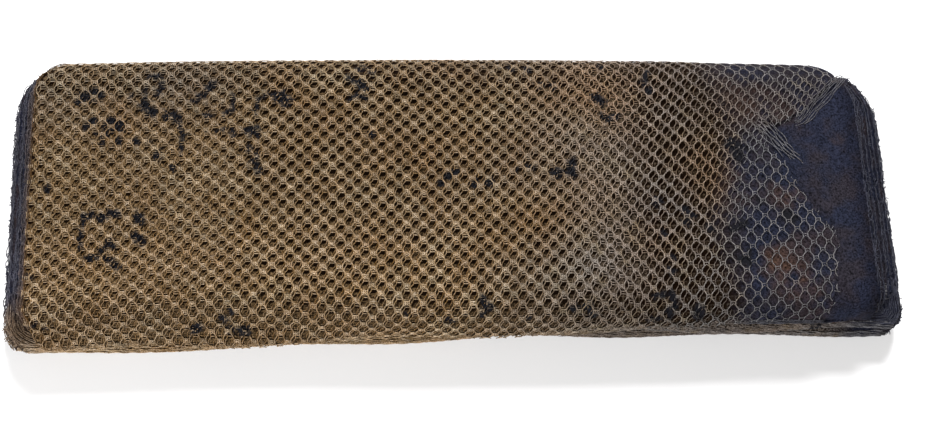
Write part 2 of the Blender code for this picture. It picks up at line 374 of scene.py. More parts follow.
def settle(x, y, z):
    """Move points of the even pack to where the uneven one has them."""
    dents = np.zeros(np.shape(x))
    for dent in DENTS:
        turn = math.radians(dent.turn)
        along = (x - dent.x) * math.cos(turn) + (y - dent.y) * math.sin(turn)
        aside = (y - dent.y) * math.cos(turn) - (x - dent.x) * math.sin(turn)
        dents += dent.depth * np.exp(-(along / dent.long) ** 2 - (aside / dent.wide) ** 2)
    fall = END_FALL * np.clip(np.abs(x) / RIGHT, 0, 1) ** 6 + BACK_FALL * np.clip(y / BACK, 0, None) ** 3
    new_z = z * (1 - fall) - dents * (z / TOP) ** 2
    back = 1.0
    for part in ((0.02 - x) / 0.12, (-0.010 - y) / 0.040, (z - 0.35 * TOP) / (0.35 * TOP)):
        part = np.clip(part, 0, 1)
        back = back * part * part * (3 - 2 * part)
    return np.stack((x, y + BOW * (0.5 - (x / RIGHT) ** 2) + SET_BACK * back, new_z), axis=-1)


HANG_FROM = spans[f"front {TOP_LAYER}"][0] + 0.0160      # where hanging cloth leaves the roll
HANG_OUT = 0.0070       # it touches the lower folds this much further down
HANG_GAP = 0.0005       # and stands this far out from their tips
HANG_FALL = 0.94        # the part of its length that it falls


def fold(x, s, lift, hanging=False):
    """Places on the folded pack for flat places on the cloth, which may hang over its front."""
    past = np.clip(s - HANG_FROM, 0, None) * hanging
    column = np.clip((x - STATIONS[0]) / STATION_STEP, 0, len(STATIONS) - 1.001)
    row = np.clip(np.interp(s - past, ALONG, np.arange(len(ALONG))), 0, len(ALONG) - 1.001)
    i, j = column.astype(int), row.astype(int)
    u, v = (column - i)[..., None], (row - j)[..., None]
    here = (grid[i, j] * (1 - u) + grid[i + 1, j] * u) * (1 - v)
    here += (grid[i, j + 1] * (1 - u) + grid[i + 1, j + 1] * u) * v
    out = np.sin(math.pi / 2 * np.clip(past / HANG_OUT, 0, 1))
    tip = FRONT_FOLDS[2].tip + ripple(x, FRONT_FOLDS[2]) - HANG_GAP
    y = here[..., 0] + out * (tip - here[..., 0])
    return settle(x, y + lift * here[..., 2],
                  here[..., 1] - HANG_FALL * past + lift * here[..., 3])

# %% [markdown]
# The layers don't end in line. Each has its own two ends in the table, the pack's
# four corners are rounded, and the top layer stops at its slanted cut edge. Both
# ends are worked out once for each point of a section and then looked up.

# %% Where the cloth ends along x


def corner_inset(y, corners):
    """How much shorter the pack is at y, because its corners are rounded."""
    behind = np.clip((y - (BACK - corners.back)) / corners.back, 0, 0.98)
    before = np.clip((FRONT + corners.front - y) / corners.front, 0, 0.98)
    return (corners.back * (1 - np.sqrt(1 - behind ** 2))
            + corners.front * (1 - np.sqrt(1 - before ** 2)))


def read_ends():
    """The left and right end of the cloth at each point of a section."""
    y, z, layer = outline[:, 0], outline[:, 1], outline[:, 4]
    numbers = np.arange(len(LAYERS))
    left, right = (np.interp(layer, numbers, column) for column in zip(*LAYERS))
    left = left + corner_inset(y, LEFT_CORNERS)
    right = right - corner_inset(y, RIGHT_CORNERS)
    cut = np.interp(y, [row.y for row in CUT_EDGE], [row.x for row in CUT_EDGE])
    on_top = np.clip(layer - (TOP_LAYER - 1), 0, 1) * (z > TOP / 2)
    return left, right + on_top * (np.minimum(cut, right) - right)


LEFT_END, RIGHT_END = read_ends()


def left_end(s):
    """Where the cloth starts at the left."""
    return np.interp(s, ALONG, LEFT_END)


def right_end(s):
    """Where it stops at the right."""
    return np.interp(s, ALONG, RIGHT_END)


def layer_at(s):
    """In which layer the cloth lies; it is a broken number on a fold."""
    return np.interp(s, ALONG, outline[:, 4])


def across_at(s):
    """How far to the back of the pack's middle the cloth lies."""
    return np.interp(s, ALONG, outline[:, 0])


def well_inside(x, s, margin=0.0005):
    """Whether a flat place lies on the cloth, clear of its two ends."""
    return (x > left_end(s) + margin) & (x < right_end(s) - margin)

# %% [markdown]
# The fold tables count from the middle of the pack's own sizes, and the frame's
# origin is the middle of the finished solid. One small shift, read from the solid's
# box, brings the two together.

# %% Where the solid stands
edge_points = np.stack([fold(np.where(side, left_end(ALONG), right_end(ALONG)), ALONG, lift)
                        for side in (True, False) for lift in (-HALF, HALF)])
inner = [fold(np.full(len(ALONG), x), ALONG, lift)
         for x in STATIONS[3:-3] for lift in (-HALF, HALF)]
mine = np.concatenate((edge_points.reshape(-1, 3), np.concatenate(inner)))
low, high = (np.array(corner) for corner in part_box(NODE))
SHIFT = np.array(((low[0] + high[0] - edge_points[..., 0].min() - edge_points[..., 0].max()) / 2,
                  (low[1] + high[1] - mine[:, 1].min() - mine[:, 1].max()) / 2, 0.0))
print("cloth across the folds:", round(ALONG[-1], 3), "m; shift, mm:", (1000 * SHIFT).round(2))

# %% [markdown]
# ## The print
# The cloth is printed with sparse black squiggles on sand brown. A squiggle is a few
# short thick strokes in a row, and each stroke is a row of the tables below, in real
# sizes. Some are printed on a ply below and show only through the holes.

# %% The marks on the top
Mark = namedtuple("Mark", "x y long turn wide")     # mm; the turn is in degrees


def in_metres(marks):
    """The same marks in metres, their turns as they are."""
    return tuple(Mark(*[size if key == "turn" else size / 1000 for key, size in row._asdict().items()])
                 for row in marks)


MARKS = in_metres((
    Mark(-147.5, 2.5, 0, 0, 1.2), Mark(-135.5, -17.5, 4.3, -80, 0.8), Mark(-135, -12.5, 5, 80, 0.8),
    Mark(-133, -8, 1.4, 15, 1.3), Mark(-131.5, -24, 2.6, 5, 1.1), Mark(-128.5, -9, 1.1, 0, 1.3),
    Mark(-128, -21, 0, 0, 1), Mark(-126, -24.5, 1.6, -25, 1.1), Mark(-125.5, -18.5, 1.1, -75, 1.3),
    Mark(-124.5, -7.5, 2.8, -15, 1), Mark(-123.5, -27.5, 1.8, -50, 1.2), Mark(-120.5, 36, 0, 0, 0.8),
    Mark(-116, -17, 3.9, -45, 1.2), Mark(-116, -9.5, 1.3, -90, 1.4), Mark(-115.5, 35.5, 4.5, 90, 0.7),
    Mark(-114, 30.5, 3.8, -45, 1.4), Mark(-112, 43, 3.6, 0, 0.7), Mark(-110, 38.5, 5, 80, 0.7),
    Mark(-106, 28, 2.7, -10, 1.5), Mark(-103, 24, 4.4, -65, 0.9), Mark(-102, 17.5, 7.7, 85, 0.7),
    Mark(-97, -54, 1.8, 30, 1.4), Mark(-96, 35, 6.1, 40, 0.8), Mark(-93.5, 28, 1.2, 0, 1),
    Mark(-92.5, 39, 2.3, 50, 1.1), Mark(-88.5, 22, 2.2, 20, 0.6), Mark(-87.5, -50, 0, 0, 1.4),
    Mark(-86, 29, 2.5, 30, 0.8), Mark(-84.5, -47, 0, 0, 1), Mark(-84.5, 21, 1.3, -45, 1),
    Mark(-84.5, 33, 4.9, 90, 0.7), Mark(-81, -55.5, 1.5, 0, 1.4), Mark(-78.5, 15, 1.2, 15, 1.1),
    Mark(-78, 21.5, 1.8, 0, 1.4), Mark(-76.5, 11.5, 3.6, 60, 0.8), Mark(-76, 31, 5.3, 75, 0.7),
    Mark(-75.5, 7.5, 1.3, -75, 1.2), Mark(-75.5, 21, 3.2, -90, 0.7), Mark(-73, 35, 5.9, 20, 0.7),
    Mark(-68, 33.5, 4.1, -40, 1.4), Mark(-65.5, 34.5, 4.3, -45, 0.8), Mark(-42.8, 41.8, 2.1, -15, 0.8),
    Mark(-42.4, 32.9, 1.5, 5, 0.5), Mark(-39.7, 39.9, 3, -10, 0.8), Mark(-39.4, 34.3, 3.9, -5, 0.8),
    Mark(-39.1, 45.1, 2.2, -5, 0.5), Mark(-37.5, 37.4, 2.1, -15, 0.9), Mark(-37.2, 46.1, 3, -5, 0.5),
    Mark(-34.7, 43.4, 1.5, 0, 0.6), Mark(-8.5, -50, 3.4, 5, 0.9), Mark(3, -47, 1.3, 60, 1),
    Mark(3, -41.5, 2.3, -80, 1), Mark(4.5, -44, 2, -45, 1.3), Mark(32, 4.5, 1.4, 5, 1.4),
    Mark(37.5, 6.5, 4.5, -90, 1.4), Mark(49.5, 33, 2.9, -30, 1.4), Mark(51.5, 26, 2.7, -25, 1),
    Mark(65.4, -50.9, 3.3, -5, 0.8), Mark(66.2, -41.1, 3.4, 10, 0.8), Mark(68, 42, 4.2, 65, 0.9),
    Mark(70.6, -48.3, 2.2, -65, 1.1), Mark(71.1, -41.7, 2.3, -60, 1.0), Mark(72.5, -44.9, 1.8, 85, 0.8),
    Mark(81.5, -48, 3.2, -90, 1.5), Mark(97.4, -15.9, 3.9, 25, 1), Mark(99, -28.5, 2.2, -15, 1.2),
    Mark(99.5, 15.5, 3.5, -20, 1.5), Mark(100.5, 11.5, 2.3, -85, 1.5), Mark(101, -14.5, 0, 0, 1.1),
    Mark(101.5, -26, 2.2, 75, 0.8),
))
LOWER_MARKS = in_metres((
    Mark(-152, -30.5, 0, 0, 1), Mark(-150.5, -49, 0, 0, 1), Mark(-147.5, -50.5, 0, 0, 1),
    Mark(-135, 36, 6, 15, 1.9), Mark(-134, 26, 3.1, 45, 1.2), Mark(-130, 18, 0, 0, 0.9),
    Mark(-129.5, 21.5, 2.4, 15, 0.9), Mark(-125.5, 25, 3, -10, 2.1), Mark(-124.5, 19, 0, 0, 1.2),
    Mark(-118.5, 19, 0, 0, 1.2), Mark(-113.5, 18.5, 0, 0, 1), Mark(-110.5, 13.5, 2.9, 85, 1),
    Mark(-105, 9, 0, 0, 1.2), Mark(-86, -55, 0, 0, 1.2), Mark(-35, 19.9, 0, 0, 1.1),
    Mark(-24.5, -48, 0, 0, 0.9), Mark(-10.5, 1.5, 0, 0, 1.2), Mark(-6.5, 4.5, 2.8, 30, 1.2),
    Mark(-3, -47, 0, 0, 0.7), Mark(1.5, 1, 0, 0, 1.5), Mark(7, 1.5, 0, 0, 1.6), Mark(16.5, 6, 0, 0, 1),
    Mark(17, 45.5, 0, 0, 1.1), Mark(19, -49.5, 0, 0, 1), Mark(22, 6.5, 0, 0, 1.2),
    Mark(23.5, 45, 0, 0, 1.3), Mark(28, 38.5, 0, 0, 1.1), Mark(32.5, 38.5, 0, 0, 1.1),
    Mark(35.5, -45, 0, 0, 1.5), Mark(40.6, -45, 0, 0, 1.6), Mark(42.7, -47.9, 0, 0, 1.4),
    Mark(51.5, 47, 0, 0, 1), Mark(55, 26.5, 0, 0, 1.2), Mark(68.5, -6.5, 0, 0, 1.6),
    Mark(69, 37, 0, 0, 1.4), Mark(69.6, -18.4, 0, 0, 1.1), Mark(71.7, -32.7, 0, 0, 1.3),
    Mark(72.3, -27.3, 0, 0, 0.9), Mark(78.6, -14.4, 0, 0, 1.1), Mark(79.7, -10.5, 3.5, -35, 1.1),
    Mark(87.5, -16, 0, 0, 1.3), Mark(104.5, 14, 0, 0, 1), Mark(107.5, -6, 0, 0, 1),
    Mark(118, -12, 2.7, -30, 1.6),
))

# %% [markdown]
# Marks of the same kind are strewn at random over the cloth that lies below, always
# in the same way, for when that is seen from the side. The print is then worked out
# at every point of every strand, from the nearest stroke, and kept there as a
# number from 0 to 1. A sum of waves makes the strokes' outlines uneven.

# %% Hidden marks, and the print at a place
TOP_START = spans[f"layer {TOP_LAYER}"][0]


def s_on_top(y):
    """How far along the cloth a place on the top lies."""
    return TOP_START + FLAP_Y - y


def hidden_marks():
    """Marks of the same kind, strewn over the parts of the cloth that lie below."""
    random = np.random.default_rng(17)
    marks = []
    for y in np.arange(s_on_top(ALONG[-1]), -0.064, 0.009):
        x, turn = random.uniform(-0.15, 0.15), random.uniform(-90, 90)
        for _ in range(random.integers(2, 5)):
            long, wide = random.uniform(0.001, 0.004), random.uniform(0.0008, 0.0016)
            marks.append(Mark(x, y, long, turn, wide))
            x, y, turn = x + 0.0035, y + random.normal(0, 0.002), turn + random.normal(0, 40)
    return tuple(marks)


SHOWN_MARKS = MARKS + hidden_marks()
print(len(SHOWN_MARKS) - len(MARKS), "strokes on hidden cloth")
REACH = 0.010           # no mark reaches further from its centre
FATTER = 1.35           # a stroke's half width, for each unit of its wide
INK_EDGE = 0.0004       # how soft its outline is


def print_at(x, s, marks):
    """How dark the print is at flat places: 1 on a mark."""
    nearest = np.full(np.shape(x), 1.0)
    wobble = 0.0004 * np.sin(x * 2100 + 1.3 * np.sin(s * 1700))
    wobble = wobble + 0.0003 * np.sin(s * 3100 + x * 900)
    low, high = s.min() - REACH, s.max() + REACH
    for mark in marks:
        centre = s_on_top(mark.y)
        if not low < centre < high:
            continue
        near = (np.abs(s - centre) < REACH) & (np.abs(x - mark.x) < REACH)
        turn = math.radians(mark.turn)
        near_x, near_s = x[near] - mark.x, centre - s[near]
        along = near_x * math.cos(turn) + near_s * math.sin(turn)
        aside = near_s * math.cos(turn) - near_x * math.sin(turn)
        gap = np.hypot(np.clip(np.abs(along) - mark.long / 2, 0, None), aside)
        nearest[near] = np.minimum(nearest[near], gap + wobble[near] - FATTER * mark.wide)
    return np.clip(0.6 - nearest / INK_EDGE, 0, 1)

# %% [markdown]
# The ground colour changes slowly. One number says how grey it is, from 0 on the
# sand brown to 1 on the grey at the right. Another says how rusty it is, from a
# short table of patches. A third says how far it turns navy, which it does at the
# right and at both ends of the pack; at the left end it stands partly for painted
# shade on the layers' sides. The last, pale, is painted light and shade at the front:
# lighter on the front half at the left, darker on the front roll toward the right.

# %% Ground colour
Patch = namedtuple("Patch", "x y long wide rust grey")
PATCHES = (
    Patch(0.0520, 0.0370, 0.020, 0.014, 0.45, -0.35), Patch(0.0170, -0.0120, 0.020, 0.012, 0.30, -0.4),
    Patch(-0.0450, 0.0200, 0.040, 0.020, 0.15, 0.0), Patch(0.0700, -0.0240, 0.016, 0.010, 0.25, -0.3),
    Patch(0.0880, 0.0060, 0.010, 0.018, 0.30, -0.5), Patch(-0.1040, 0.0400, 0.024, 0.014, -0.2, 0.4),
    Patch(-0.1500, 0.0350, 0.018, 0.012, 0.00, 0.3), Patch(0.1190, -0.0370, 0.006, 0.006, 0.9, 0.0),
    Patch(0.1430, -0.0350, 0.008, 0.009, 0.9, 0.0), Patch(0.1370, 0.0180, 0.012, 0.008, 0.9, 0.0),
    Patch(0.1280, 0.0085, 0.008, 0.005, 0.45, 0.0), Patch(0.1190, -0.0030, 0.006, 0.006, 0.5, 0.0),
    Patch(0.1100, 0.0330, 0.014, 0.010, 0.35, 0.0), Patch(0.1100, -0.0280, 0.006, 0.010, 0.4, 0.0),
)


UPPER_LAYERS = 8.4      # above this layer the cloth turns navy sooner toward the right


def ramp(value, start, stop):
    """0 before start, 1 after stop and a soft slope between them."""
    part = np.clip((value - start) / (stop - start), 0, 1)
    return part * part * (3 - 2 * part)


def ground_at(x, s):
    """How grey, rusty and navy the cloth is at flat places, and its painted light and shade at the front.
    """
    layer, across = layer_at(s), across_at(s)
    wave = 0.008 * np.sin(s * 75 + 1.0) + 0.007 * np.sin(x * 60 + s * 110)
    grey = ramp(x + wave, -0.025, 0.095)
    rust = 0.15 + 0.15 * np.sin(x * 70 + 2 * np.sin(s * 60)) * np.sin(s * 95 + 1.5 * np.sin(x * 50))
    for patch in PATCHES:
        aside = s - s_on_top(patch.y)
        share = np.exp(-((x - patch.x) / patch.long) ** 2 - (aside / patch.wide) ** 2)
        grey, rust = grey + share * patch.grey, rust + share * patch.rust
    above = layer > UPPER_LAYERS
    navy = ramp(x + 0.3 * wave, np.where(above, 0.088, 0.134), np.where(above, 0.104, 0.152))
    at_front = ramp(-across, 0.030, 0.046)
    # on the top layer's back part, as far as its cut edge, the cloth turns less navy
    behind_on_top = (layer > TOP_LAYER - 0.5) * ramp(across, 0.012, 0.026)
    behind_on_top = behind_on_top * ramp(right_end(s) - x, -0.002, 0.004)
    navy = navy * (1 - 0.32 * behind_on_top)
    # at the left end the cloth turns dark navy, less at the front; this is partly painted shade on the
    # layers' sides
    at_left = np.where(above, 0.75 * ramp(-x, 0.1528, 0.1545), ramp(-x + 0.2 * wave, 0.148, 0.156))
    navy = np.maximum(navy, at_left * (1 - 0.5 * at_front))
    # painted light and shade: the front half is coloured lighter left of the middle, where it slopes away
    # from the key lamp, and the front roll darker toward the right
    pale = 0.28 * ramp(-across, 0.004, 0.026) * ramp(-x, -0.020, 0.010)
    pale = pale - 0.22 * at_front * ramp(x, 0.020, 0.050)
    return {"grey": np.clip(grey, 0, 1), "rust": np.clip(rust, 0, 1), "navy": navy, "pale": pale}


print(len(MARKS), "strokes on the top,", len(LOWER_MARKS), "below it;", len(PATCHES), "patches")

# %% [markdown]
# ## Making many small tubes at once
# A net has thousands of short strands, far too many to model one at a time. All
# rings of all strands are worked out together as arrays in flat cloth space, and
# only then folded. Each point keeps its flat place as well, because the print and
# the pattern's map need it.

# %% Rings and faces of many tubes
Shape = namedtuple("Shape", "x s lift faces")
Yarn = namedtuple("Yarn", "half high")      # half a yarn's width, and how far it stands up
FOLD_YARN, EDGE_YARN, STUB_YARN = Yarn(0.00019, 0.00017), Yarn(0.00016, 0.00013), Yarn(0.00015, 0.00012)
ARC_YARN, FRAY_YARN = Yarn(0.00017, 0.00015), Yarn(0.00017, 0.00013)
DRAGGED_YARN, HEM_YARN = Yarn(0.00016, 0.00013), Yarn(0.00013, 0.00011)


def ring_corners(sides):
    """Corners of a strand's section: aside and up, as parts of its half sizes."""
    return ((-1, -0.5), (0, 1), (1, -0.5)) if sides == 3 else ((-1, 0), (0, 1), (1, 0), (0, -1))


def make_rings(x, s, lift, wide, thick, sides):
    """Rings round bundles of strands; the last axis of x and s runs along each."""
    run_x, run_s = np.gradient(x, axis=-1), np.gradient(s, axis=-1)
    length = np.hypot(run_x, run_s) + 1e-9
    rings = [(x - aside * wide * run_s / length, s + aside * wide * run_x / length,
              lift + high * thick + 0 * x) for aside, high in ring_corners(sides)]
    return [np.stack(part, axis=-1) for part in zip(*rings)]


def tube_faces(keep, sides):
    """Faces of the tubes where two rings in a row are kept, and their end caps."""
    ring = sides * np.arange(keep.size).reshape(keep.shape)
    both = keep[..., 1:] & keep[..., :-1]
    here, there = ring[..., :-1][both], ring[..., 1:][both]
    corners = [(corner, (corner + 1) % sides) for corner in range(sides)]
    walls = [np.stack((here + a, here + b, there + b, there + a), axis=-1) for a, b in corners]
    edge = np.zeros(keep.shape[:-1] + (1,), bool)
    starts = ring[keep & ~np.concatenate((edge, keep[..., :-1]), axis=-1)]
    stops = ring[keep & ~np.concatenate((keep[..., 1:], edge), axis=-1)]
    return [np.concatenate(walls), starts[:, None] + np.arange(sides)[::-1],
            stops[:, None] + np.arange(sides)]


def make_tubes(x, s, lift, wide, thick, keep=None, sides=3):
    """The shape of many tubes in flat cloth space, where keep says so."""
    keep = np.ones(x.shape, bool) if keep is None else keep
    rings = make_rings(x, s, lift, wide, thick, sides)
    return Shape(*[part.ravel() for part in rings], tube_faces(keep, sides))


def join_shapes(shapes):
    """One shape of several, with the faces numbered on."""
    faces, count = [], 0
    for shape in shapes:
        faces += [rows + count for rows in shape.faces if len(rows)]
        count += shape.x.size
    return Shape(*[np.concatenate([getattr(shape, key) for shape in shapes])
                   for key in ("x", "s", "lift")], faces)

# %% [markdown]
# A finished mesh gets two things besides its faces: a map named OFBake, in which
# the cloth lies flat, and a few numbers at each point, which the materials read.

# %% From a flat shape to a piece
MAP_WIDE = 0.36         # the length along the pack that the map covers


def write_numbers(mesh, numbers):
    """Keep named numbers at a mesh's points, for the materials to read."""
    for key, values in numbers.items():
        made = mesh.attributes.new(key, "FLOAT", "POINT")
        made.data.foreach_set("value", values.astype(np.float32))


def make_piece(name, shape, deep=0.0, hanging=False):
    """Fold a flat shape into place and make it a piece of the pack; deep is how much painted shade its
    colour gets.
    """
    corners = np.concatenate([rows.ravel() for rows in shape.faces])
    sizes = np.concatenate([np.full(len(rows), rows.shape[1]) for rows in shape.faces])
    used, corners = np.unique(corners, return_inverse=True)
    corners = corners.ravel()
    x, s = shape.x[used], shape.s[used]
    places = fold(x, s, shape.lift[used], hanging) + SHIFT

    mesh = bpy.data.meshes.new(name)
    mesh.vertices.add(len(places))
    mesh.vertices.foreach_set("co", places.astype(np.float32).ravel())
    mesh.loops.add(len(corners))
    mesh.loops.foreach_set("vertex_index", corners.astype(np.int32))
    mesh.polygons.add(len(sizes))
    starts = np.concatenate(((0,), np.cumsum(sizes)[:-1]))
    mesh.polygons.foreach_set("loop_start", starts.astype(np.int32))
    mesh.update(calc_edges=True)
    mesh.validate()
    mesh.shade_smooth()

    across = (s - s.min()) / max(s.max() - s.min(), 1e-6)
    flat = np.stack((x / MAP_WIDE + 0.5, 0.01 + 0.98 * across), axis=-1)
    cloth_map = mesh.uv_layers.new(name="OFBake")
    cloth_map.data.foreach_set("uv", flat[corners].astype(np.float32).ravel())
    deep = np.broadcast_to(deep, shape.x.shape)[used]
    marks = SHOWN_MARKS + LOWER_MARKS if np.min(deep) > 0.1 else SHOWN_MARKS
    write_numbers(mesh, {"print": print_at(x, s, marks), "deep": deep, **ground_at(x, s)})
    piece = add_thing(name, mesh)
    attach(piece, BODY)
    print(name, int((sizes - 2).sum()), "triangles")
    return piece

# %% [markdown]
# ## The pressed plies
# Under the strands that one sees lie some hundred more plies. They are pressed
# to a felt, so here they are one closed sheet that follows every fold. It is
# thinner where real strands lie on it: on the top, the roll and the flap, and
# below the pack. The strands pressed into it are only a roughness of its material.

# %% The sheet of pressed plies
FULL_LIFT = 0.0009      # half the thickness of a layer of pressed plies
TOP_LIFT = -0.00045     # its upper face where the nets lie on it
UNDER_LIFT = 0.0004     # and below the pack
CLOTH_COLUMNS = 44
FLAP_RISE = 0.0003      # on the flap it is this much thicker again


def grid_quads(number):
    """Faces between the points of a grid, which are numbered."""
    corners = (number[:-1, :-1], number[1:, :-1], number[1:, 1:], number[:-1, 1:])
    return np.stack(corners, axis=-1).reshape(-1, 4)


def sheet_lifts(x, s):
    """Lifts of the two faces of the pressed sheet."""
    on_top = ramp(layer_at(s), TOP_LAYER - 0.75, TOP_LAYER - 0.35)
    below = ramp(layer_at(s), 0.35, 0.1)
    upper = FULL_LIFT + on_top * (TOP_LIFT - FULL_LIFT) + below * (UNDER_LIFT - FULL_LIFT)
    upper = upper + FLAP_RISE * ramp(s, TOP_START + 0.004, TOP_START - 0.004)
    return np.full(np.shape(x), -FULL_LIFT), upper


def make_cloth():
    """The closed sheet: columns along the pack, rows across its folds."""
    part = np.linspace(0, 1, CLOTH_COLUMNS)[:, None]
    x = (LEFT_END + 0.0006) * (1 - part) + (RIGHT_END - 0.0006) * part
    s = np.broadcast_to(ALONG, x.shape)
    lower, upper = sheet_lifts(x, s)
    number = np.arange(x.size).reshape(x.shape)
    quads = grid_quads(number)
    rim = np.concatenate((number[:, 0], number[-1, 1:], number[-2::-1, -1], number[0, -2:0:-1]))
    after = np.roll(rim, -1)
    walls = np.stack((after, rim, rim + x.size, after + x.size), axis=-1)
    return Shape(np.tile(x.ravel(), 2), np.tile(s.ravel(), 2),
                 np.concatenate((lower.ravel(), upper.ravel())),
                 [quads, quads[:, ::-1] + x.size, walls])


cloth = make_piece("pressed_plies", make_cloth())
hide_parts(NODE)

# %% [markdown]
# ## The knit
# The mesh is warp knitted. Wales of loops run along the cloth and sway from side
# to side. Where two meet they are knitted together for a few courses, which leaves
# pinholes, and where they part they leave a six-sided hole. So one wale is a zigzag
# tube, and a knot of the top net is three short bars and two spines between two
# wales. Where the net is drawn out, at the right, the knot opens and only its outer
# bars are left; the nets below have fewer bars. Every knot is a little out of place,
# and its two wales share that.

# %% The knit's repeat
CELL_WIDE = 0.0059                  # from hole to hole along a row
WALE = CELL_WIDE / 2
FIRST_WALE = -0.174
MOST_ROWS = 60
KNOT_HALF, KNOT_LONG = 0.00100, 0.00125
STRAND_HALF, STRAND_HIGH = 0.00023, 0.00019
ROW_BACK, ROW_MORE = 0.00262, 0.0000045     # rows of knots stand wider apart to the front
KNOT_OUT_OF_PLACE = 0.00009
BAR_SIZE, BAR_RISE = 0.8, 0.00004   # a bar is thinner than a wale and lies a little higher
BAR_BOW = 0.00036                   # the bar at a knot's front end is bowed
# painted shade: toward the left the wales are coloured darker than the bars, which lie across the key
# lamp's light and catch it
WALE_SHADE = 0.36                    # wales run towards the light and shine less than bars

Ply = namedtuple("Ply", "name lift deep bars seed sides right half start hanging",
                 defaults=(3, 1, 0, 0, True))
Slide = namedtuple("Slide", "x second_x second_s third_x third_s")
SLIDES = (      # how far the plies under the top one have slid on it
    Slide(-0.170, 0.0005, 0.0017, -0.0006, -0.0014), Slide(-0.105, 0.0005, 0.0016, -0.0006, -0.0013),
    Slide(-0.070, 0.0005, 0.0013, -0.0005, -0.0010), Slide(0.036, 0.0005, 0.0013, -0.0005, -0.0010),
    Slide(0.050, 0.0006, 0.0020, -0.0007, -0.0012), Slide(0.062, 0.0010, 0.0018, -0.0007, 0.0008),
    Slide(0.072, 0.0016, 0.0012, -0.0009, 0.0009), Slide(0.170, 0.0018, 0.0010, -0.0009, 0.0009),
)


def sway(x, s):
    """A net isn't laid quite straight: how far its wales and its rows wander."""
    return (0.0009 * np.sin(s * 38 + x * 12),
            0.0016 * np.sin(x * 21 + 0.4) + 0.0008 * np.sin(x * 55 + s * 30))


def lay(x, s, ply):
    """Flat places of a net as it really lies; the plies have slid on one another."""
    slide_x, slide_s = 0.0, 0.0
    prefix = ply.name.split("_")[0]
    if prefix in ("second", "third"):
        at = [slide.x for slide in SLIDES]
        slide_x = np.interp(x, at, [getattr(slide, prefix + "_x") for slide in SLIDES])
        slide_s = np.interp(x, at, [getattr(slide, prefix + "_s") for slide in SLIDES])
        slide_x = slide_x + 0.00022 * np.sin(s * 140 + x * 90) * ramp(x, -0.02, 0.05)
        slide_s = slide_s + 0.00030 * np.sin(s * 80 - x * 130 + 1) * ramp(x, -0.02, 0.05)
    sway_x, sway_s = sway(x, s)
    return x + slide_x + sway_x, s + slide_s + sway_s


print("a hole every", round(1000 * CELL_WIDE, 1), "mm; rows", 1000 * ROW_BACK, "mm apart at the back")


def row_place(number):
    """How far along the cloth a row of knots lies."""
    return ROW_BACK * number + ROW_MORE * number * np.abs(number)

# %% [markdown]
# At the front the nets leave the roll and hang over the lower folds, to a hem that
# climbs toward the right until it ends on the roll. At the left they start at the
# cloth's end, and their front corner hangs over the corners of the folds below.

# %% Where the nets end
Hang = namedtuple("Hang", "x down")
HANGS = (       # how far the nets hang down over the lower folds
    Hang(-0.150, 0.0050), Hang(-0.125, 0.0068), Hang(-0.100, 0.0082), Hang(-0.050, 0.0090),
    Hang(-0.010, 0.0086), Hang(0.015, 0.0078), Hang(0.040, 0.0056), Hang(0.070, 0.0024),
    Hang(0.100, -0.0012), Hang(0.170, -0.0040),
)
NETS_STOP = HANG_FROM + max(hang.down for hang in HANGS) + 0.001


def roll_place(s):
    """The last place on the roll, for cloth that hangs down from it."""
    return np.where(s < NETS_STOP, np.minimum(s, HANG_FROM), s)


def net_hem(x, seed):
    """Where along the cloth the nets on the top stop, at their uneven hem over the front."""
    return HANG_FROM + np.interp(x, *zip(*HANGS)) + 0.0006 * np.sin(x * 140 + seed)


def net_start(s):
    """Where the nets start at the left; their front corner hangs over those below."""
    past = np.clip(s - HANG_FROM, 0, None) * (s < NETS_STOP)
    end = left_end(s - past)
    at_front = ramp(s, s_on_top(-0.030), s_on_top(-0.038))
    spread_out = 0.95 * (end - LAYERS[TOP_LAYER].left) * at_front
    return end + 0.7 * past - spread_out * (s < NETS_STOP)


print("the nets hang down by up to", 1000 * max(hang.down for hang in HANGS), "mm")


def on_half(x, ply):
    """The top net is made in two halves, left and right of the middle."""
    return (ply.half == 0) | ((x > 0) == (ply.half > 0))

# %% [markdown]
# At the right the nets stop in loose lines. Where few of them lie on one another
# they sink onto the layer below, and the mesh is drawn out, so that its strands are
# thin and its knots narrow.

# %% The nets' right ends
Pull = namedtuple("Pull", "y out")
PULLS = (       # how far the cut edge of the top net was pulled out
    Pull(0.0235, 0.0), Pull(0.0255, 0.0060), Pull(0.0285, 0.0070),
    Pull(0.0324, 0.0034), Pull(0.0368, 0.0017), Pull(0.0405, 0.0),
)


def net_end(s, ply):
    """Where a net stops at the right: at the cloth's end, or before it in a loose line.

    The second net reaches further at the back."""
    loose = ply.right + 0.006 * np.sin(s * 90 + ply.seed) + 0.003 * np.sin(s * 260)
    loose = loose + 0.060 * (ply.name == "second_net") * ramp(s_on_top(s), 0.012, 0.020)
    pulled = np.interp(s_on_top(s), *zip(*PULLS)) * (layer_at(s) > TOP_LAYER - 0.5)
    return np.minimum(right_end(roll_place(s)) + pulled, loose)


def lift_of(x, s, ply):
    """The nets sink onto the layer below at the right, at the cut edge and past it."""
    s = roll_place(s)
    sink = 0.0005 * ramp(x, right_end(s) - 0.010, right_end(s))
    sink = sink + 0.0018 * ramp(x, right_end(s) - 0.0005, right_end(s) + 0.0035)
    sink = sink * ramp(s, TOP_START - 0.004, TOP_START + 0.006)
    sink = sink + 0.0004 * ramp(x, 0.078, 0.100)
    sink = sink * (layer_at(s) > TOP_LAYER - 0.5)
    return ply.lift - sink - 0.3 * np.clip(left_end(s) - x, 0, None)


def thinner(x):
    """Strands are thin at the right, where one ply shows alone, and a little at the left."""
    return 1 - 0.29 * ramp(x, 0.030, 0.105) - 0.14 * ramp(x, -0.060, -0.090)


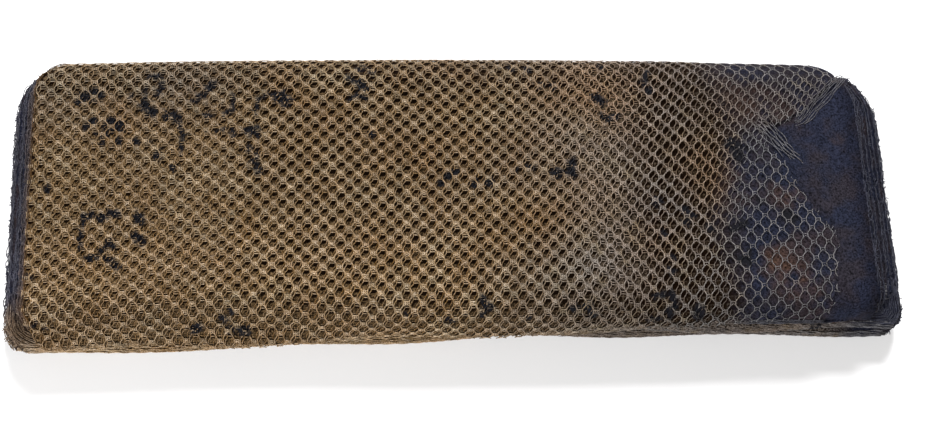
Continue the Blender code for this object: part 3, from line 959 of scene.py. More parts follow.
def knot_half(x):
    """Half the width of a knot; knots are narrower where the net is drawn out."""
    return KNOT_HALF * (1 - 0.10 * ramp(x, 0.030, 0.110))


def stop_of(x, ply):
    """Where along the cloth a net stops."""
    return net_hem(x, ply.seed) if ply.hanging else ALONG[-1]

# %% [markdown]
# A wale has two rings at each knot and two on its way to the next. It takes the
# knots' places from the same small random shifts as its neighbour does, so that the
# two stay joined.

# %% Wales


def make_wales(ply, columns, rows, jitter, edges):
    """All wales of a net: two rings at each knot and two on the way to the next."""
    wale, row = np.arange(len(columns) - 1)[:, None], np.arange(len(rows))[None, :]
    left_of_knot = (wale + row) % 2
    column = wale + left_of_knot
    centre = columns[0] + column * WALE
    knot_x = centre + knot_half(centre) * (1 - 2 * left_of_knot) + jitter[0][column, row]
    knot_s = rows[row] + jitter[1][column, row]
    reach = np.minimum(KNOT_LONG / 2, 0.3 * ROW_BACK)
    next_x = np.concatenate((knot_x[:, 1:], knot_x[:, -1:]), axis=1)
    next_s = np.concatenate((knot_s[:, 1:] - reach, knot_s[:, -1:] + 3 * reach), axis=1)
    way = next_s - knot_s - reach
    turn = next_x - knot_x
    x = np.stack((knot_x, knot_x, knot_x + 0.26 * turn, knot_x + 0.74 * turn), axis=-1)
    s = np.stack((knot_s - reach, knot_s + reach, knot_s + reach + way / 3,
                  knot_s + reach + way * 2 / 3), axis=-1)
    x, s = lay(x.reshape(len(wale), -1), s.reshape(len(wale), -1), ply)
    wide = STRAND_HALF * np.tile((1.12, 1.12, 1.0, 1.0), len(rows)) * thinner(x)
    keep = (x > net_start(s) + edges) & (x < net_end(s, ply) + edges)
    keep &= (s > ply.start) & (s < stop_of(x, ply)) & on_half(columns[:-1, None], ply)
    return make_tubes(x, s, lift_of(x, s, ply), wide, STRAND_HIGH, keep, ply.sides)

# %% [markdown]
# The bars are laid across the knots, a little higher than the wales that they join.
# A net is the wales and the bars of one ply in one mesh.

# %% Bars, spines and a whole net


def make_bars(ply, columns, rows, jitter):
    """The short bars across each knot; where it isn't drawn out, a middle one and two spines."""
    column, row = np.nonzero((np.arange(len(columns))[:, None] + np.arange(len(rows))) % 2 == 0)
    x, s = columns[column] + jitter[0][column, row], rows[row] + jitter[1][column, row]
    half = knot_half(x)
    drawn_out = x > 0.082 + 60 * jitter[0][column, row]
    lines = []
    for bar in ply.bars:
        at = s + bar * KNOT_LONG
        if bar > 0.4:
            lines.append(((x - half, x, x + half), (at + BAR_BOW, at - BAR_BOW, at + BAR_BOW)))
        else:
            lines.append(((x - half, x + half), (at, at)))
    if len(ply.bars) == 3:
        lines += [((x + side, x + side), (s - KNOT_LONG / 2, s + KNOT_LONG / 2))
                  for side in (-half / 3, half / 3)]
    shapes = []
    for place, (line_x, line_s) in enumerate(lines):
        bar_x, bar_s = lay(np.stack(line_x, axis=-1), np.stack(line_s, axis=-1), ply)
        inside = (bar_x > net_start(bar_s) + 0.0004) & (bar_x < net_end(bar_s, ply) - 0.0004)
        inside &= (bar_s > ply.start) & (bar_s < stop_of(bar_x, ply) - 0.0005)
        inside &= np.all(inside, axis=-1, keepdims=True) & on_half(columns[column][:, None], ply)
        if len(ply.bars) == 3 and place not in (0, 2):
            inside &= ~drawn_out[:, None]
        shapes.append(make_tubes(bar_x, bar_s, lift_of(bar_x, bar_s, ply) + BAR_RISE,
                                 BAR_SIZE * STRAND_HALF * thinner(bar_x),
                                 BAR_SIZE * STRAND_HIGH, inside))
    return shapes


def make_net(ply):
    """One ply of net, cut off where the cloth ends."""
    random = np.random.default_rng(ply.seed)
    rows = row_place(np.arange(-3, MOST_ROWS)) + ply.start
    rows = rows[rows < (NETS_STOP if ply.hanging else ALONG[-1]) + 3 * ROW_BACK]
    columns = np.arange(FIRST_WALE, -FIRST_WALE, WALE)
    jitter = random.normal(0, KNOT_OUT_OF_PLACE, (2, len(columns) + 1, len(rows)))
    edges = random.normal(0, 0.0007, (len(columns) - 1, 1))
    wales = make_wales(ply, columns, rows, jitter, edges)
    shape = join_shapes([wales] + make_bars(ply, columns, rows, jitter))
    # painted shade on the wales, which catch less of the lamp's light than the bars
    shaded_wales = np.arange(shape.x.size) < wales.x.size       # the wales shine less than the bars
    deep = ply.deep + WALE_SHADE * shaded_wales * ramp(shape.x, 0.08, 0.0)
    # less painted shade in a band right of the middle; the second net gets more in a band further right
    deep = deep * (1 - 0.3 * ramp(shape.x, 0.022, 0.042) * ramp(shape.x, 0.070, 0.056))
    if ply.name == "second_net":
        deep = deep + 0.25 * ramp(shape.x, 0.052, 0.068) * ramp(shape.x, 0.110, 0.095)
    return make_piece(ply.name, shape, deep, ply.hanging)

# %% [markdown]
# Three nets lie on the top, the roll and the flap, one on the other. The top one is
# made in two halves, so that no mesh grows too big. Where the nets have slid apart
# the holes close up; where they lie in line the holes stay open and dark. Their
# slide is given in the table above.

# %% The nets on the top
# deep is painted shade: each lower net is coloured darker, as it lies in the shade of those above
PLIES = (
    *[Ply(name, lift=0.00074, deep=0, bars=(-0.42, 0, 0.42), seed=1, sides=4, half=half)
      for name, half in (("top_net_left", -1), ("top_net_right", 1))],
    Ply("second_net", lift=0.00045, deep=0.20, bars=(-0.35, 0.35), seed=2, right=0.098),
    Ply("third_net", lift=0.00016, deep=0.38, bars=(0,), seed=3, right=0.052),
)
nets = [make_net(ply) for ply in PLIES]

# %% [markdown]
# One more net closes the pack from below. It starts where the cloth's last layer
# does, and nothing hangs.

# %% The net below
# the net below gets a little painted shade too
nets.append(make_net(Ply("bottom_net", lift=0.00076, deep=0.1, bars=(0,), seed=4,
                         start=spans["layer 0"][0], hanging=False)))

# %% [markdown]
# The fourth ply down is seen only through the holes. A sheet with a dimple for each
# hole does for it, and the strands and holes of the plies below are painted on it;
# the holes are painted near black, as painted shade.
# For that its points keep their place in the net's count of wales and rows, and how
# far the holes are open: less at the left, toward the front of the left half, and in
# a band to the right of the middle.

# %% The ply below the nets
DEEP_STEP = 0.00094
DEEP_LIFT, DIMPLE = -0.00012, 0.00025


def wale_and_row(x, s):
    """The place in the top net's own count of wales and rows."""
    sway_x, sway_s = sway(x, s)
    number = np.arange(MOST_ROWS)
    return (x - sway_x - FIRST_WALE) / WALE, np.interp(s - sway_s, row_place(number), number) + 1


def make_deep_ply():
    """A sheet under the nets, with its dimples; it is cut off at their hem."""
    s = np.arange(0.0008, NETS_STOP, DEEP_STEP)
    columns = int(0.31 / DEEP_STEP)
    part = np.linspace(0, 1, columns)[:, None]
    x = (net_start(s) + 0.0006) * (1 - part) + (right_end(roll_place(s)) - 0.0004) * part
    s = np.broadcast_to(s, x.shape)
    wale, row = wale_and_row(x, s)
    hole = ramp(-np.cos(math.pi * wale) * np.cos(math.pi * row), 0.0, 0.5)
    hole = hole * (1 - ramp(x, 0.088, 0.104))
    lift = DEEP_LIFT - DIMPLE * hole
    lift = lift - 0.0003 * ramp(x, 0.085, 0.105) * ramp(s, TOP_START - 0.002, TOP_START + 0.006)
    lift = lift + 0.0004 * ramp(s, TOP_START + 0.004, TOP_START - 0.004)
    lift = lift - 0.3 * np.clip(left_end(roll_place(s)) - x, 0, None)
    number = np.arange(x.size).reshape(x.shape)
    quads = grid_quads(number)[:, (0, 3, 2, 1)]
    inside = (s < net_hem(x, 3) - 0.0008).ravel()
    used, quads = np.unique(quads[inside[quads].all(axis=1)], return_inverse=True)
    return Shape(x.ravel()[used], s.ravel()[used], lift.ravel()[used], [quads.reshape(-1, 4)])


def dusk_at(x, s):
    """How much painted shade the ply gets where it lies under the nets: at the right, at the front and on
    the flap.
    """
    dusk = 0.15 + 0.35 * ramp(x, 0.032, 0.046) + 0.50 * ramp(x, 0.048, 0.068)
    front_dusk = 0.76 + 0.24 * ramp(x, 0.015, 0.045)
    dusk = np.maximum(dusk, front_dusk * ramp(s, s_on_top(-0.034), s_on_top(-0.042)))
    return np.maximum(dusk, ramp(s, TOP_START + 0.0070, TOP_START + 0.0030))


def open_at(x, s):
    """How far the painted holes are open."""
    opened = 0.15 + 0.75 * ramp(x, -0.095, -0.060) + 0.10 * ramp(x, -0.040, 0.010)
    closing = ramp(s, s_on_top(0.002), s_on_top(-0.018)) * ramp(-x, 0.005, 0.045)
    opened = opened * (1 - 0.35 * closing)
    return opened - 0.65 * ramp(x, 0.034, 0.046) * ramp(x, 0.072, 0.060)


deep_shape = make_deep_ply()
deep_ply = make_piece("deep_ply", deep_shape, dusk_at(deep_shape.x, deep_shape.s), hanging=True)
deep_wale, deep_row = wale_and_row(deep_shape.x, deep_shape.s)
deep_open = open_at(deep_shape.x, deep_shape.s)
write_numbers(deep_ply.data, {"wale": deep_wale, "row": deep_row, "open": deep_open})

# %% [markdown]
# ## Folded edges
# Each fold is a bundle of plies, and what one sees is the bend of each ply, one
# above the other. A bent net shows as a wavy line of loops, so each is a thin tube
# along the pack that sways with the wales, and the lines of one fold bunch together
# and part again. They lie round the front folds, round the back folds where the
# flap leaves them open, and on the roll at the right, below the nets' hem.

# %% Lines of loops round the folds
LOOP_STEP = 0.00110
LINE_GAP = 0.00036      # along the cloth's middle line; nearly twice that outside
LINE_LIFT = 0.00098
ROLL_LINES_SINK = 0.0012            # on the roll they lie under the nets


def fold_lines(upper):
    """Places of the lines of one fold, over its tip and its side that is seen."""
    start, stop = spans[f"front {upper}"]
    if upper == TOP_LAYER:
        return np.arange(HANG_FROM - 0.0086, HANG_FROM + 0.0050, LINE_GAP * 1.7)
    if FRONT_FOLDS[upper // 2].facets:
        tip = start + 0.60 * (stop - start)
        return np.arange(tip - 0.0058, tip + 0.0016, LINE_GAP * 1.25)
    middle = (start + stop) / 2
    return middle + LINE_GAP * np.arange(-5, 6)


def back_fold_yarns(random):
    """The same lines on the folds at the back, where the flap leaves them open."""
    shapes = []
    for x in (np.arange(-0.165, -0.140, LOOP_STEP), np.arange(0.126, 0.167, LOOP_STEP)):
        for start, stop in (spans[part] for part in spans if part.startswith("back")):
            for place in (start + stop) / 2 + LINE_GAP * np.arange(-5, 6):
                s = place + 0.00014 * np.sin(x * 130 + random.uniform(0, 6))
                s = s + random.normal(0, 0.00005, x.shape)
                rise = LINE_LIFT + 0.00014 * np.sin(x * 103 + random.uniform(0, 6))
                shapes.append(make_tubes(x, s, rise, *FOLD_YARN, well_inside(x, s)))
    return shapes


def fold_yarns():
    """The lines of all folds that are seen."""
    random = np.random.default_rng(31)
    x = np.arange(-0.166, 0.166, LOOP_STEP)
    shapes = back_fold_yarns(random)
    for upper in range(1, TOP_LAYER + 1, 2):
        for place in fold_lines(upper):
            phase, drift, bunch = random.uniform(0, 2 * math.pi, 3)
            sway = 0.00008 * np.sin(2 * math.pi * x / (2 * WALE) + phase)
            sway += 0.00014 * np.sin(2 * math.pi * x / 0.047 + bunch) + random.normal(0, 0.00004, x.shape)
            s = place + sway
            lift = LINE_LIFT + 0.00012 * np.sin(2 * math.pi * x / (2 * WALE) + phase + 1.6)
            lift += 0.00012 * np.sin(2 * math.pi * x / 0.061 + drift)
            keep = well_inside(x, s)
            if upper == TOP_LAYER:
                lift = lift - ROLL_LINES_SINK
                keep &= (x > 0.04) & (s > net_hem(x, 2) - 0.0004)
            shapes.append(make_tubes(x, s, lift, *FOLD_YARN, keep))
    return join_shapes(shapes)


lines = fold_yarns()
# painted shade: the lines of loops are coloured a little darker, more on the roll toward the right, where
# they lie under the nets
on_roll = (lines.s > spans[f"front {TOP_LAYER}"][0]) & (lines.s < NETS_STOP)
nets.append(make_piece("fold_lines", lines, deep=0.25 + 0.35 * on_roll * ramp(lines.x, 0.04, 0.08)))

# %% [markdown]
# ## Cut ends of the layers
# The net was cut across its wales at both ends of the pack. Of each layer one sees
# the edges of its plies there, as ragged lines, and a fringe of short cut yarns. At
# the two front corners the plies also show from above, as arcs on the flat layer
# under the roll.

# %% Ply edges and cut yarns at both ends
EDGE_STEP = 0.00125
EDGE_LIFTS = (-0.00078, -0.00044, -0.00010, 0.00024, 0.00058, 0.00086)
STUBS = 900
TOP_STOP = spans[f"layer {TOP_LAYER - 1}"][0]       # from here on, cloth below the top layer


def wander(at, size, rate, random):
    """A slow wave of this size, which starts anywhere."""
    return size * np.sin(at * rate + random.uniform(0, 6))


def ply_edges(end, outward, start, random):
    """Ragged lines along the ends of the layers, wound down from one to the next."""
    s = np.arange(start, ALONG[-1], EDGE_STEP)
    shapes = []
    for lift in EDGE_LIFTS:
        row = 2 * math.pi * s / (2 * ROW_BACK)
        ragged = wander(row, 0.00018, 1, random) + random.normal(0, 0.00016, s.shape)
        slow = wander(s, 0.00040, 131, random) + wander(s, 0.0003, 317, random)
        x = end(s) + outward * (ragged + 0.8 * slow - 0.0003)
        rise = lift + wander(s, 0.00010, 523, random) + random.normal(0, 0.00006, s.shape)
        shapes.append(make_tubes(x, s, rise, *EDGE_YARN))
    return shapes


def stubs(end, outward, start, random):
    """Short cut yarns that stand out of the ends of the plies."""
    s0 = np.sort(random.uniform(start, ALONG[-1] - 0.001, STUBS))[:, None]
    reach = random.uniform(0.0002, 0.0008, s0.shape) * np.array((-0.4, 0.4, 1.0))
    bend = random.normal(0, 0.0006, s0.shape) * np.array((0.0, 0.4, 1.0))
    droop = random.normal(0, 0.0003, s0.shape) * np.array((0.0, 0.3, 1.0))
    x = end(s0) + outward * reach
    lift = random.uniform(-0.0008, 0.0008, s0.shape) + droop
    return [make_tubes(x, s0 + bend, lift, *STUB_YARN)]

# %% [markdown]
# At a front corner the plies of the flat layer bend round, each a little inside the
# last. From above that shows as arcs, one in the other.

# %% Plies round the front corners


def corner_arcs(layer, end, corner, outward, random):
    """Plies that show on top of a lower layer, where they bend round its front corner."""
    start, stop = spans[f"layer {layer}"]
    here = (ALONG >= start) & (ALONG <= stop)
    order = np.argsort(outline[here, 0])
    turn = np.linspace(0, math.pi / 2, 16)
    shapes = []
    for gap in np.arange(0.0006, 0.0090, 0.00042):
        radius = max(corner - gap, 0.0005)
        x = end + outward * (-corner) + outward * radius * np.cos(turn)
        y = FRONT + corner - radius * np.sin(turn)
        x = np.concatenate(((x[0],) * 6, x, x[-1] - outward * np.linspace(0.002, 0.020, 8)))
        run_in = np.linspace(random.uniform(-0.036, -0.030), y[0] + 0.001, 6)
        y = np.concatenate((run_in, y, (y[-1],) * 8))
        bend = np.cumsum(random.normal(0, 0.00014, x.shape))
        s = np.interp(y + 0.5 * bend, outline[here, 0][order], ALONG[here][order])
        lift = (FULL_LIFT + random.uniform(0.00005, 0.00025)) * (1 if layer % 2 else -1)
        shapes.append(make_tubes(x + bend, s, lift + 0 * x, *ARC_YARN))
    return shapes


def make_ends():
    """Edges, stubs and corner arcs of both ends."""
    random = np.random.default_rng(41)
    shapes = ply_edges(left_end, -1, 0.0004, random) + stubs(left_end, -1, 0.001, random)
    shapes += ply_edges(right_end, 1, TOP_STOP, random) + stubs(right_end, 1, TOP_STOP, random)
    shapes += corner_arcs(5, LAYERS[5].left, LEFT_CORNERS.front, -1, random)
    shapes += corner_arcs(5, LAYERS[5].right, RIGHT_CORNERS.front, 1, random)
    return join_shapes(shapes)


ends = make_ends()
# painted shade: the edges, stubs and corner arcs at both ends are coloured dark, as the layers' sides lie
# in shadow; at the left front, from layer 5 down, less
less_shaded = ramp(ends.s, spans["layer 5"][0] - 0.001, spans["layer 5"][0]) * ramp(ends.x, -0.120, -0.150)
at_front = across_at(ends.s) < -0.036
nets.append(make_piece("cut_ends", ends, deep=0.9 - 0.35 * less_shaded * at_front))

# %% [markdown]
# ## Loose yarns at the cut edge
# On the top the net stops short of the right end, and its cut edge frays onto the
# dark layer below. In the notch of the edge the mesh was dragged aside: there its
# cells are drawn out to long narrow ones. Behind the notch the pulled edge is a hem
# of wales that bunch up side by side.

# %% Frayed and dragged yarns
ON_LAYER_BELOW = -PITCH + FULL_LIFT + 0.00025   # lift of a yarn that lies on the next layer
FRAYS = 46


def frayed_yarns():
    """Single yarns that curl out of the cut edge."""
    random = np.random.default_rng(53)
    first, last = s_on_top(0.047), s_on_top(-0.046)
    s0 = np.sort(random.uniform(first, last, FRAYS))[:, None]
    part = np.linspace(0, 1, 7)
    reach = random.uniform(0.0010, 0.0034, s0.shape)
    heading = random.normal(0, 0.9, s0.shape)
    curl_by = random.normal(0, 1.3, s0.shape)
    turn = heading + curl_by * part
    x = right_end(s0) - 0.0012 + np.cumsum(np.cos(turn), axis=1) / 7 * reach
    s = s0 + np.cumsum(np.sin(turn), axis=1) / 7 * reach
    lift = -0.0003 + (ON_LAYER_BELOW + 0.0003) * ramp(part, 0.0, 0.6) + 0 * s
    return [make_tubes(x, s, lift, *FRAY_YARN)]


def dragged_yarns():
    """Wales drawn out aslant over the notch; neighbours touch now and then."""
    random = np.random.default_rng(59)
    count, points = 9, 30
    aside = np.linspace(-1, 1, count)[:, None] + random.normal(0, 0.05, (count, 1))
    part = np.linspace(0, 1, points)
    slope = math.radians(-40)
    begin = 0.0035 * np.abs(aside) + random.uniform(-0.0012, 0.0012, aside.shape)
    length = 0.0235 - 0.0050 * aside ** 2 + random.uniform(-0.002, 0.002, aside.shape)
    along = begin + (length - begin) * part
    wave = 0.00042 * np.sin(2 * math.pi * along / 0.0094 + math.pi * np.arange(count)[:, None])
    across = 0.0036 * aside * (1 - 0.30 * part) + wave + 0.0007 * np.sin(along * 190 + 1)
    x = 0.1085 + along * math.cos(slope) - across * math.sin(slope)
    y = 0.0250 + along * math.sin(slope) + across * math.cos(slope)
    lift = 0.0004 + (ON_LAYER_BELOW - 0.0001) * ramp(part, 0.15, 0.60)
    lift = lift - 0.0009 * ramp(part, 0.8, 1)
    lift = lift + random.normal(0, 0.00008, aside.shape)
    return [make_tubes(x, s_on_top(y), lift, *DRAGGED_YARN)]


def hem_yarns():
    """Wales that bunch up along the pulled edge at the back and bend round its corner."""
    random = np.random.default_rng(61)
    count = 9
    aside = np.linspace(-0.5, 1, count)[:, None] * 0.0034 + random.normal(0, 0.00018, (count, 1))
    part = np.linspace(0, 1, 34) * random.uniform(0.88, 1, aside.shape)
    at = (0, 0.3, 0.6, 0.8, 0.9, 1)
    middle_x = np.interp(part, at, (0.1468, 0.1395, 0.1325, 0.1290, 0.1272, 0.1235))
    middle_y = np.interp(part, at, (0.0456, 0.0390, 0.0322, 0.0275, 0.0258, 0.0246))
    wave = 0.00022 * np.sin(2 * math.pi * part / 0.31 + math.pi * np.arange(count)[:, None])
    fan = aside * (0.30 + 0.70 * np.sin(math.pi * np.clip(0.85 * part + 0.1, 0, 1))) + wave
    x, y = middle_x + 0.66 * fan, middle_y - 0.75 * fan
    s = s_on_top(y)
    lift = 0.0003 + (ON_LAYER_BELOW - 0.0003) * ramp(x, right_end(s) - 0.001, right_end(s) + 0.004)
    return [make_tubes(x, s, lift + random.normal(0, 0.0001, aside.shape), *HEM_YARN)]


loose = join_shapes(frayed_yarns() + dragged_yarns() + hem_yarns())
# painted shade: the loose yarns are coloured a little darker, those along the pulled hem at the back more
pulled = s_on_top(loose.s) > 0.0235
nets.append(make_piece("loose_yarns", loose, deep=0.15 + 0.35 * pulled))

# %% [markdown]
# ## Materials
# The yarn is dull printed polyester. Its colour is mixed from the numbers that each
# point carries. A fine noise breaks it up, as stitches do, and a bump of the same
# scale roughens it.

# %% Colours of the yarn
SAND_DARK, SAND_LIGHT = (0.278, 0.184, 0.096, 1), (0.394, 0.302, 0.192, 1)
COOL_YARN = (0.128, 0.131, 0.147, 1)
GREY_YARN = (0.190, 0.184, 0.184, 1)
RUST_YARN = (0.225, 0.120, 0.058, 1)
OLIVE_YARN = (0.222, 0.176, 0.108, 1)
BLACK_YARN = (0.007, 0.007, 0.009, 1)
# painted shade: the two colours below are the dark brown and the dark navy that shaded yarn is coloured
# toward
SHADED_YARN = (0.068, 0.034, 0.012, 1)
SHADED_NAVY_YARN = (0.031, 0.033, 0.050, 1)

# %% [markdown]
# A material is a tree of nodes. Small helpers add one node each and give back its
# output, so a tree can be written as a formula.

# %% Nodes that read, mix and spread


def new_material(name, roughness, gloss):
    """A material with its node tree and its shader."""
    material = bpy.data.materials.new(name)
    material.use_nodes = True
    shader = material.node_tree.nodes["Principled BSDF"]
    shader.inputs["Roughness"].default_value = roughness
    shader.inputs["Specular IOR Level"].default_value = gloss
    return material, material.node_tree, shader


def number(tree, name):
    """Reads a number that the mesh carries at its points."""
    made = tree.nodes.new("ShaderNodeAttribute")
    made.attribute_name = name
    return made.outputs["Fac"]


def blend(tree, share, first, second):
    """Mixes two colours; each is a plain colour or a node's output."""
    made = tree.nodes.new("ShaderNodeMix")
    made.data_type = "RGBA"
    tree.links.new(share, made.inputs["Factor"])
    for socket, colour in ((made.inputs[6], first), (made.inputs[7], second)):
        if isinstance(colour, tuple):
            socket.default_value = colour
        else:
            tree.links.new(colour, socket)
    return made.outputs[2]


def noise(tree, size, detail=2):
    """Noise with features of about this size, in metres."""
    coordinates = tree.nodes.new("ShaderNodeTexCoord")
    made = tree.nodes.new("ShaderNodeTexNoise")
    made.inputs["Scale"].default_value = 1 / size
    made.inputs["Detail"].default_value = detail
    tree.links.new(coordinates.outputs["Object"], made.inputs["Vector"])
    return made.outputs["Fac"]


def spread(tree, value, low, high):
    """Stretches a value so that low becomes 0 and high becomes 1."""
    made = tree.nodes.new("ShaderNodeMapRange")
    made.inputs["From Min"].default_value = low
    made.inputs["From Max"].default_value = high
    tree.links.new(value, made.inputs["Value"])
    return made.outputs["Result"]

# %% [markdown]
# The next helpers do sums with numbers or outputs, dim a colour, and roughen the
# surface with a bump.

# %% Nodes that reckon


def reckon(tree, operation, first, second=0.0):
    """A Math node; its inputs are numbers or outputs."""
    made = tree.nodes.new("ShaderNodeMath")
    made.operation = operation
    for socket, value in zip(made.inputs, (first, second)):
        if isinstance(value, (int, float)):
            socket.default_value = value
        else:
            tree.links.new(value, socket)
    return made.outputs["Value"]


def times(tree, first, second):
    """The product of two values."""
    return reckon(tree, "MULTIPLY", first, second)


def plus(tree, first, second):
    """The sum of two values."""
    return reckon(tree, "ADD", first, second)


def minus(tree, first, second):
    """The first value less the second."""
    return reckon(tree, "SUBTRACT", first, second)


def larger(tree, first, second):
    """The larger of two values."""
    return reckon(tree, "MAXIMUM", first, second)


def dimmed(tree, colour, value, fading=None):
    """The colour made darker or lighter by a value; fading takes colour out of it."""
    made = tree.nodes.new("ShaderNodeHueSaturation")
    tree.links.new(value, made.inputs["Value"])
    tree.links.new(colour, made.inputs["Color"])
    if fading is not None:
        tree.links.new(minus(tree, 1.15, fading), made.inputs["Saturation"])
    return made.outputs["Color"]


def roughen(tree, shader, height, strength, distance):
    """Bumps of a material's surface, this high."""
    bump = tree.nodes.new("ShaderNodeBump")
    bump.inputs["Strength"].default_value = strength
    bump.inputs["Distance"].default_value = distance
    tree.links.new(height, bump.inputs["Height"])
    tree.links.new(bump.outputs["Normal"], shader.inputs["Normal"])

# %% [markdown]
# The yarn's colour is built up step by step: sand in two tones, grey, olive clouds
# and rust, then the cool side of the print, painted shade between the plies, the
# light and dark of single stitches with painted glints, painted light and shade at
# the front, and last the black ink.

# %% Printed yarn


def yarn_material():
    """Dull printed yarn, for all the real strands."""
    material, tree, shader = new_material("printed_yarn", 0.50, 0.09)
    stitch = noise(tree, 0.00055, 3)
    ground = blend(tree, spread(tree, noise(tree, 0.012), 0.3, 0.7), SAND_DARK, SAND_LIGHT)
    ground = blend(tree, number(tree, "grey"), ground, GREY_YARN)
    ground = blend(tree, spread(tree, noise(tree, 0.006), 0.52, 0.80), ground, OLIVE_YARN)
    ground = blend(tree, number(tree, "rust"), ground, RUST_YARN)
    ground = blend(tree, spread(tree, number(tree, "navy"), 0.35, 1.22), ground, COOL_YARN)
    # painted shade: by the number deep, the yarn is coloured toward shaded sand brown, or toward shaded
    # navy on navy cloth
    below = blend(tree, number(tree, "navy"), SHADED_YARN, SHADED_NAVY_YARN)
    ground = blend(tree, number(tree, "deep"), ground, below)
    # painted glints: fine specks on the strands, made lighter and less coloured, as highlights
    painted_glints = spread(tree, noise(tree, 0.00042, 1), 0.36, 0.66)
    value = plus(tree, spread(tree, stitch, 0.15, 0.72), times(tree, painted_glints, 0.9))
    blotch = plus(tree, spread(tree, noise(tree, 0.0035), 0.2, 0.8), 0.72)
    value = times(tree, times(tree, value, blotch), 0.52)
    # painted light and shade at the front, from the number pale
    value = times(tree, value, plus(tree, number(tree, "pale"), 1.0))
    # the painted glints take colour out of the yarn, and painted shade keeps more in
    fading = minus(tree, times(tree, painted_glints, 0.45),
                    times(tree, number(tree, "deep"), 0.25))
    ground = dimmed(tree, ground, value, fading)
    inked = spread(tree, noise(tree, 0.0010, 1), 0.35, 0.46)      # the ink missed some yarns
    inked = times(tree, number(tree, "print"), inked)
    tree.links.new(blend(tree, inked, ground, BLACK_YARN), shader.inputs["Base Color"])
    roughen(tree, shader, stitch, 0.5, 0.00012)
    return material

# %% [markdown]
# The plies below have the same mesh, but no more of it is seen than dull brown felt.
# At the right they turn to dark plum and navy with rusty clouds, and there the mesh,
# drawn tight, shows as a fine grain.

# %% Colours of the felt
# painted shade and light: the first sand is a shaded copy of the lit sand below it; the near black brown
# beside it is painted shade
SHADED_SAND, SHADOW_BROWN = (0.120, 0.078, 0.038, 1), (0.0065, 0.0035, 0.0013, 1)
LIT_SAND = (0.262, 0.168, 0.082, 1)
DEEP_NAVY, DEEP_PLUM = (0.0150, 0.0172, 0.0310, 1), (0.0210, 0.0185, 0.0250, 1)
DEEP_RUST, DEEP_GREY = (0.072, 0.038, 0.023, 1), (0.115, 0.096, 0.082, 1)
# painted shade: the near black of the painted holes
HOLE_SHADE = (0.0040, 0.0017, 0.0006, 1)

# %% [markdown]
# A ply's mesh is painted from two cosines, one for each direction of the net. Their
# product, with its sign turned, is near 1 in a hole, near -1 on a knot, and about 0
# on the strands between.

# %% Painted mesh


def cells(tree, wales_off, rows_off):
    """A ply's holes (near 1) and knots (near -1), slid by parts of a wale and a row."""
    waves = [reckon(tree, "COSINE", times(tree, plus(tree, number(tree, key), off), math.pi))
             for key, off in (("wale", wales_off), ("row", rows_off))]
    return times(tree, times(tree, *waves), -1.0)


def strands(tree, wales_off, rows_off):
    """1 on the strands and knots of one ply, 0 in its holes."""
    return spread(tree, cells(tree, wales_off, rows_off), 0.25, 0.05)


def threads(tree, wales_off, rows_off):
    """1 on thin threads, which run where a ply's holes meet its knots."""
    return spread(tree, reckon(tree, "ABSOLUTE", cells(tree, wales_off, rows_off)), 0.12, 0.04)

# %% [markdown]
# The pressed plies and the deep ply share one felt, in a shaded and a lit copy of its
# sand. The deep ply also gets the painted strands, painted shade under the nets and
# in the holes, and the holes painted near black as painted shade.

# %% Two felts


def new_felt(name, sand_colour):
    """Brown plies pressed together, which turn to dark plum and navy cloth."""
    material, tree, shader = new_material(name, 0.7, 0.015)
    fibre = noise(tree, 0.0007, 3)
    cloud = noise(tree, 0.010, 3)
    sand = blend(tree, number(tree, "grey"), sand_colour, DEEP_GREY)
    # a fine grain of sand and painted shade, in the felt's gaps
    sand = blend(tree, spread(tree, fibre, 0.40, 0.60), SHADOW_BROWN, sand)
    dark = blend(tree, spread(tree, cloud, 0.40, 0.60), DEEP_NAVY, DEEP_PLUM)
    shown = times(tree, number(tree, "rust"), spread(tree, cloud, 0.25, 0.60))
    dark = blend(tree, spread(tree, shown, 0.15, 0.85), dark, DEEP_RUST)
    dark = dimmed(tree, dark, spread(tree, fibre, 0.24, 0.66))
    return material, tree, shader, fibre, sand, dark


def finish_felt(tree, shader, brown, dark, height):
    """Brown felt that turns dark where the cloth is navy, with the ink and the bumps."""
    colour = blend(tree, number(tree, "navy"), brown, dark)
    colour = blend(tree, number(tree, "print"), colour, BLACK_YARN)
    tree.links.new(colour, shader.inputs["Base Color"])
    roughen(tree, shader, height, 0.7, 0.0004)


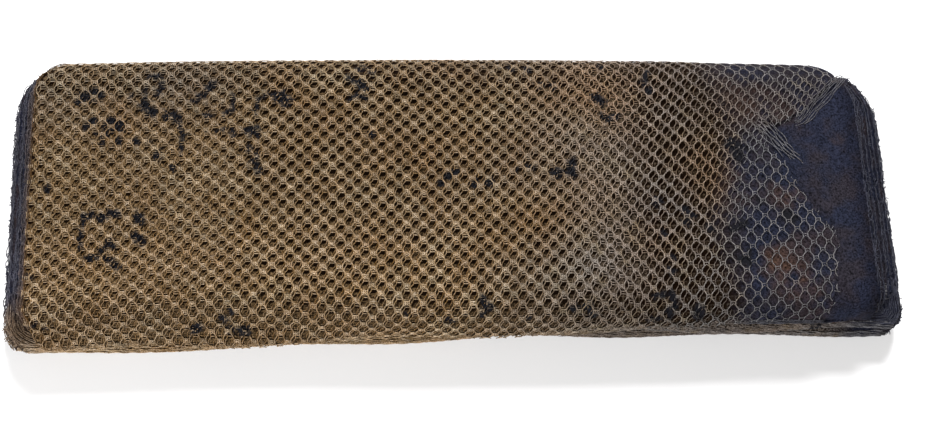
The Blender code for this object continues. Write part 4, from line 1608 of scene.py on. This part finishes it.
def pressed_material():
    """The hundred plies that are seen only at the folds, the ends and the right."""
    # the pressed plies take the shaded copy of the sand: painted shade
    material, tree, shader, fibre, sand, dark = new_felt("pressed_plies", SHADED_SAND)
    finish_felt(tree, shader, sand, dark, fibre)
    return material


def deep_material():
    """As the pressed plies, with the strands and the holes of more plies painted on, and painted shade
    under the nets and in the holes.
    """
    # the deep ply takes the lit copy of the sand: painted light
    material, tree, shader, fibre, sand, dark = new_felt("deep_ply", LIT_SAND)
    lines = larger(tree, strands(tree, 0.30, -0.33), strands(tree, -0.33, 0.22))
    open_here = number(tree, "open")
    # painted shade: inside each hole of the top net, more where the holes are open, and between the
    # painted strands below
    shade_in_holes = times(tree, spread(tree, cells(tree, 0.0, -0.10), -0.20, 0.45),
                    spread(tree, open_here, -1.0, 1.5))
    shade = times(tree, minus(tree, 1.0, lines), 0.35)
    # painted shade by the number deep, under the nets, except on thin threads, which are left lit
    lit = larger(tree, threads(tree, 0.20, 0.35), threads(tree, -0.25, -0.20))
    dusk = times(tree, number(tree, "deep"), spread(tree, lit, 1.7, 0.0))
    shade = larger(tree, larger(tree, shade, shade_in_holes), dusk)
    brown = blend(tree, shade, sand, SHADOW_BROWN)
    # the painted holes, near black: painted shade where the openings go deep
    closing = times(tree, minus(tree, open_here, 1.0), 0.30)
    flat_hole = reckon(tree, "MINIMUM", cells(tree, 0.0, 0.09), cells(tree, 0.0, 0.35))
    opened = spread(tree, plus(tree, flat_hole, closing), 0.06, 0.24)
    opened = times(tree, opened, spread(tree, noise(tree, 0.006), 0.18, 0.42))
    brown = blend(tree, opened, brown, HOLE_SHADE)
    finish_felt(tree, shader, brown, dark, plus(tree, fibre, lines))
    return material

# %% [markdown]
# All pieces of yarn take the one yarn, and each of the two sheets its own felt.

# %% Giving out the materials
yarn = yarn_material()
for net in nets:
    net.data.materials.append(yarn)
cloth.data.materials.append(pressed_material())
deep_ply.data.materials.append(deep_material())
print(len(nets), "pieces of yarn, and one each of pressed plies and of the deep ply")
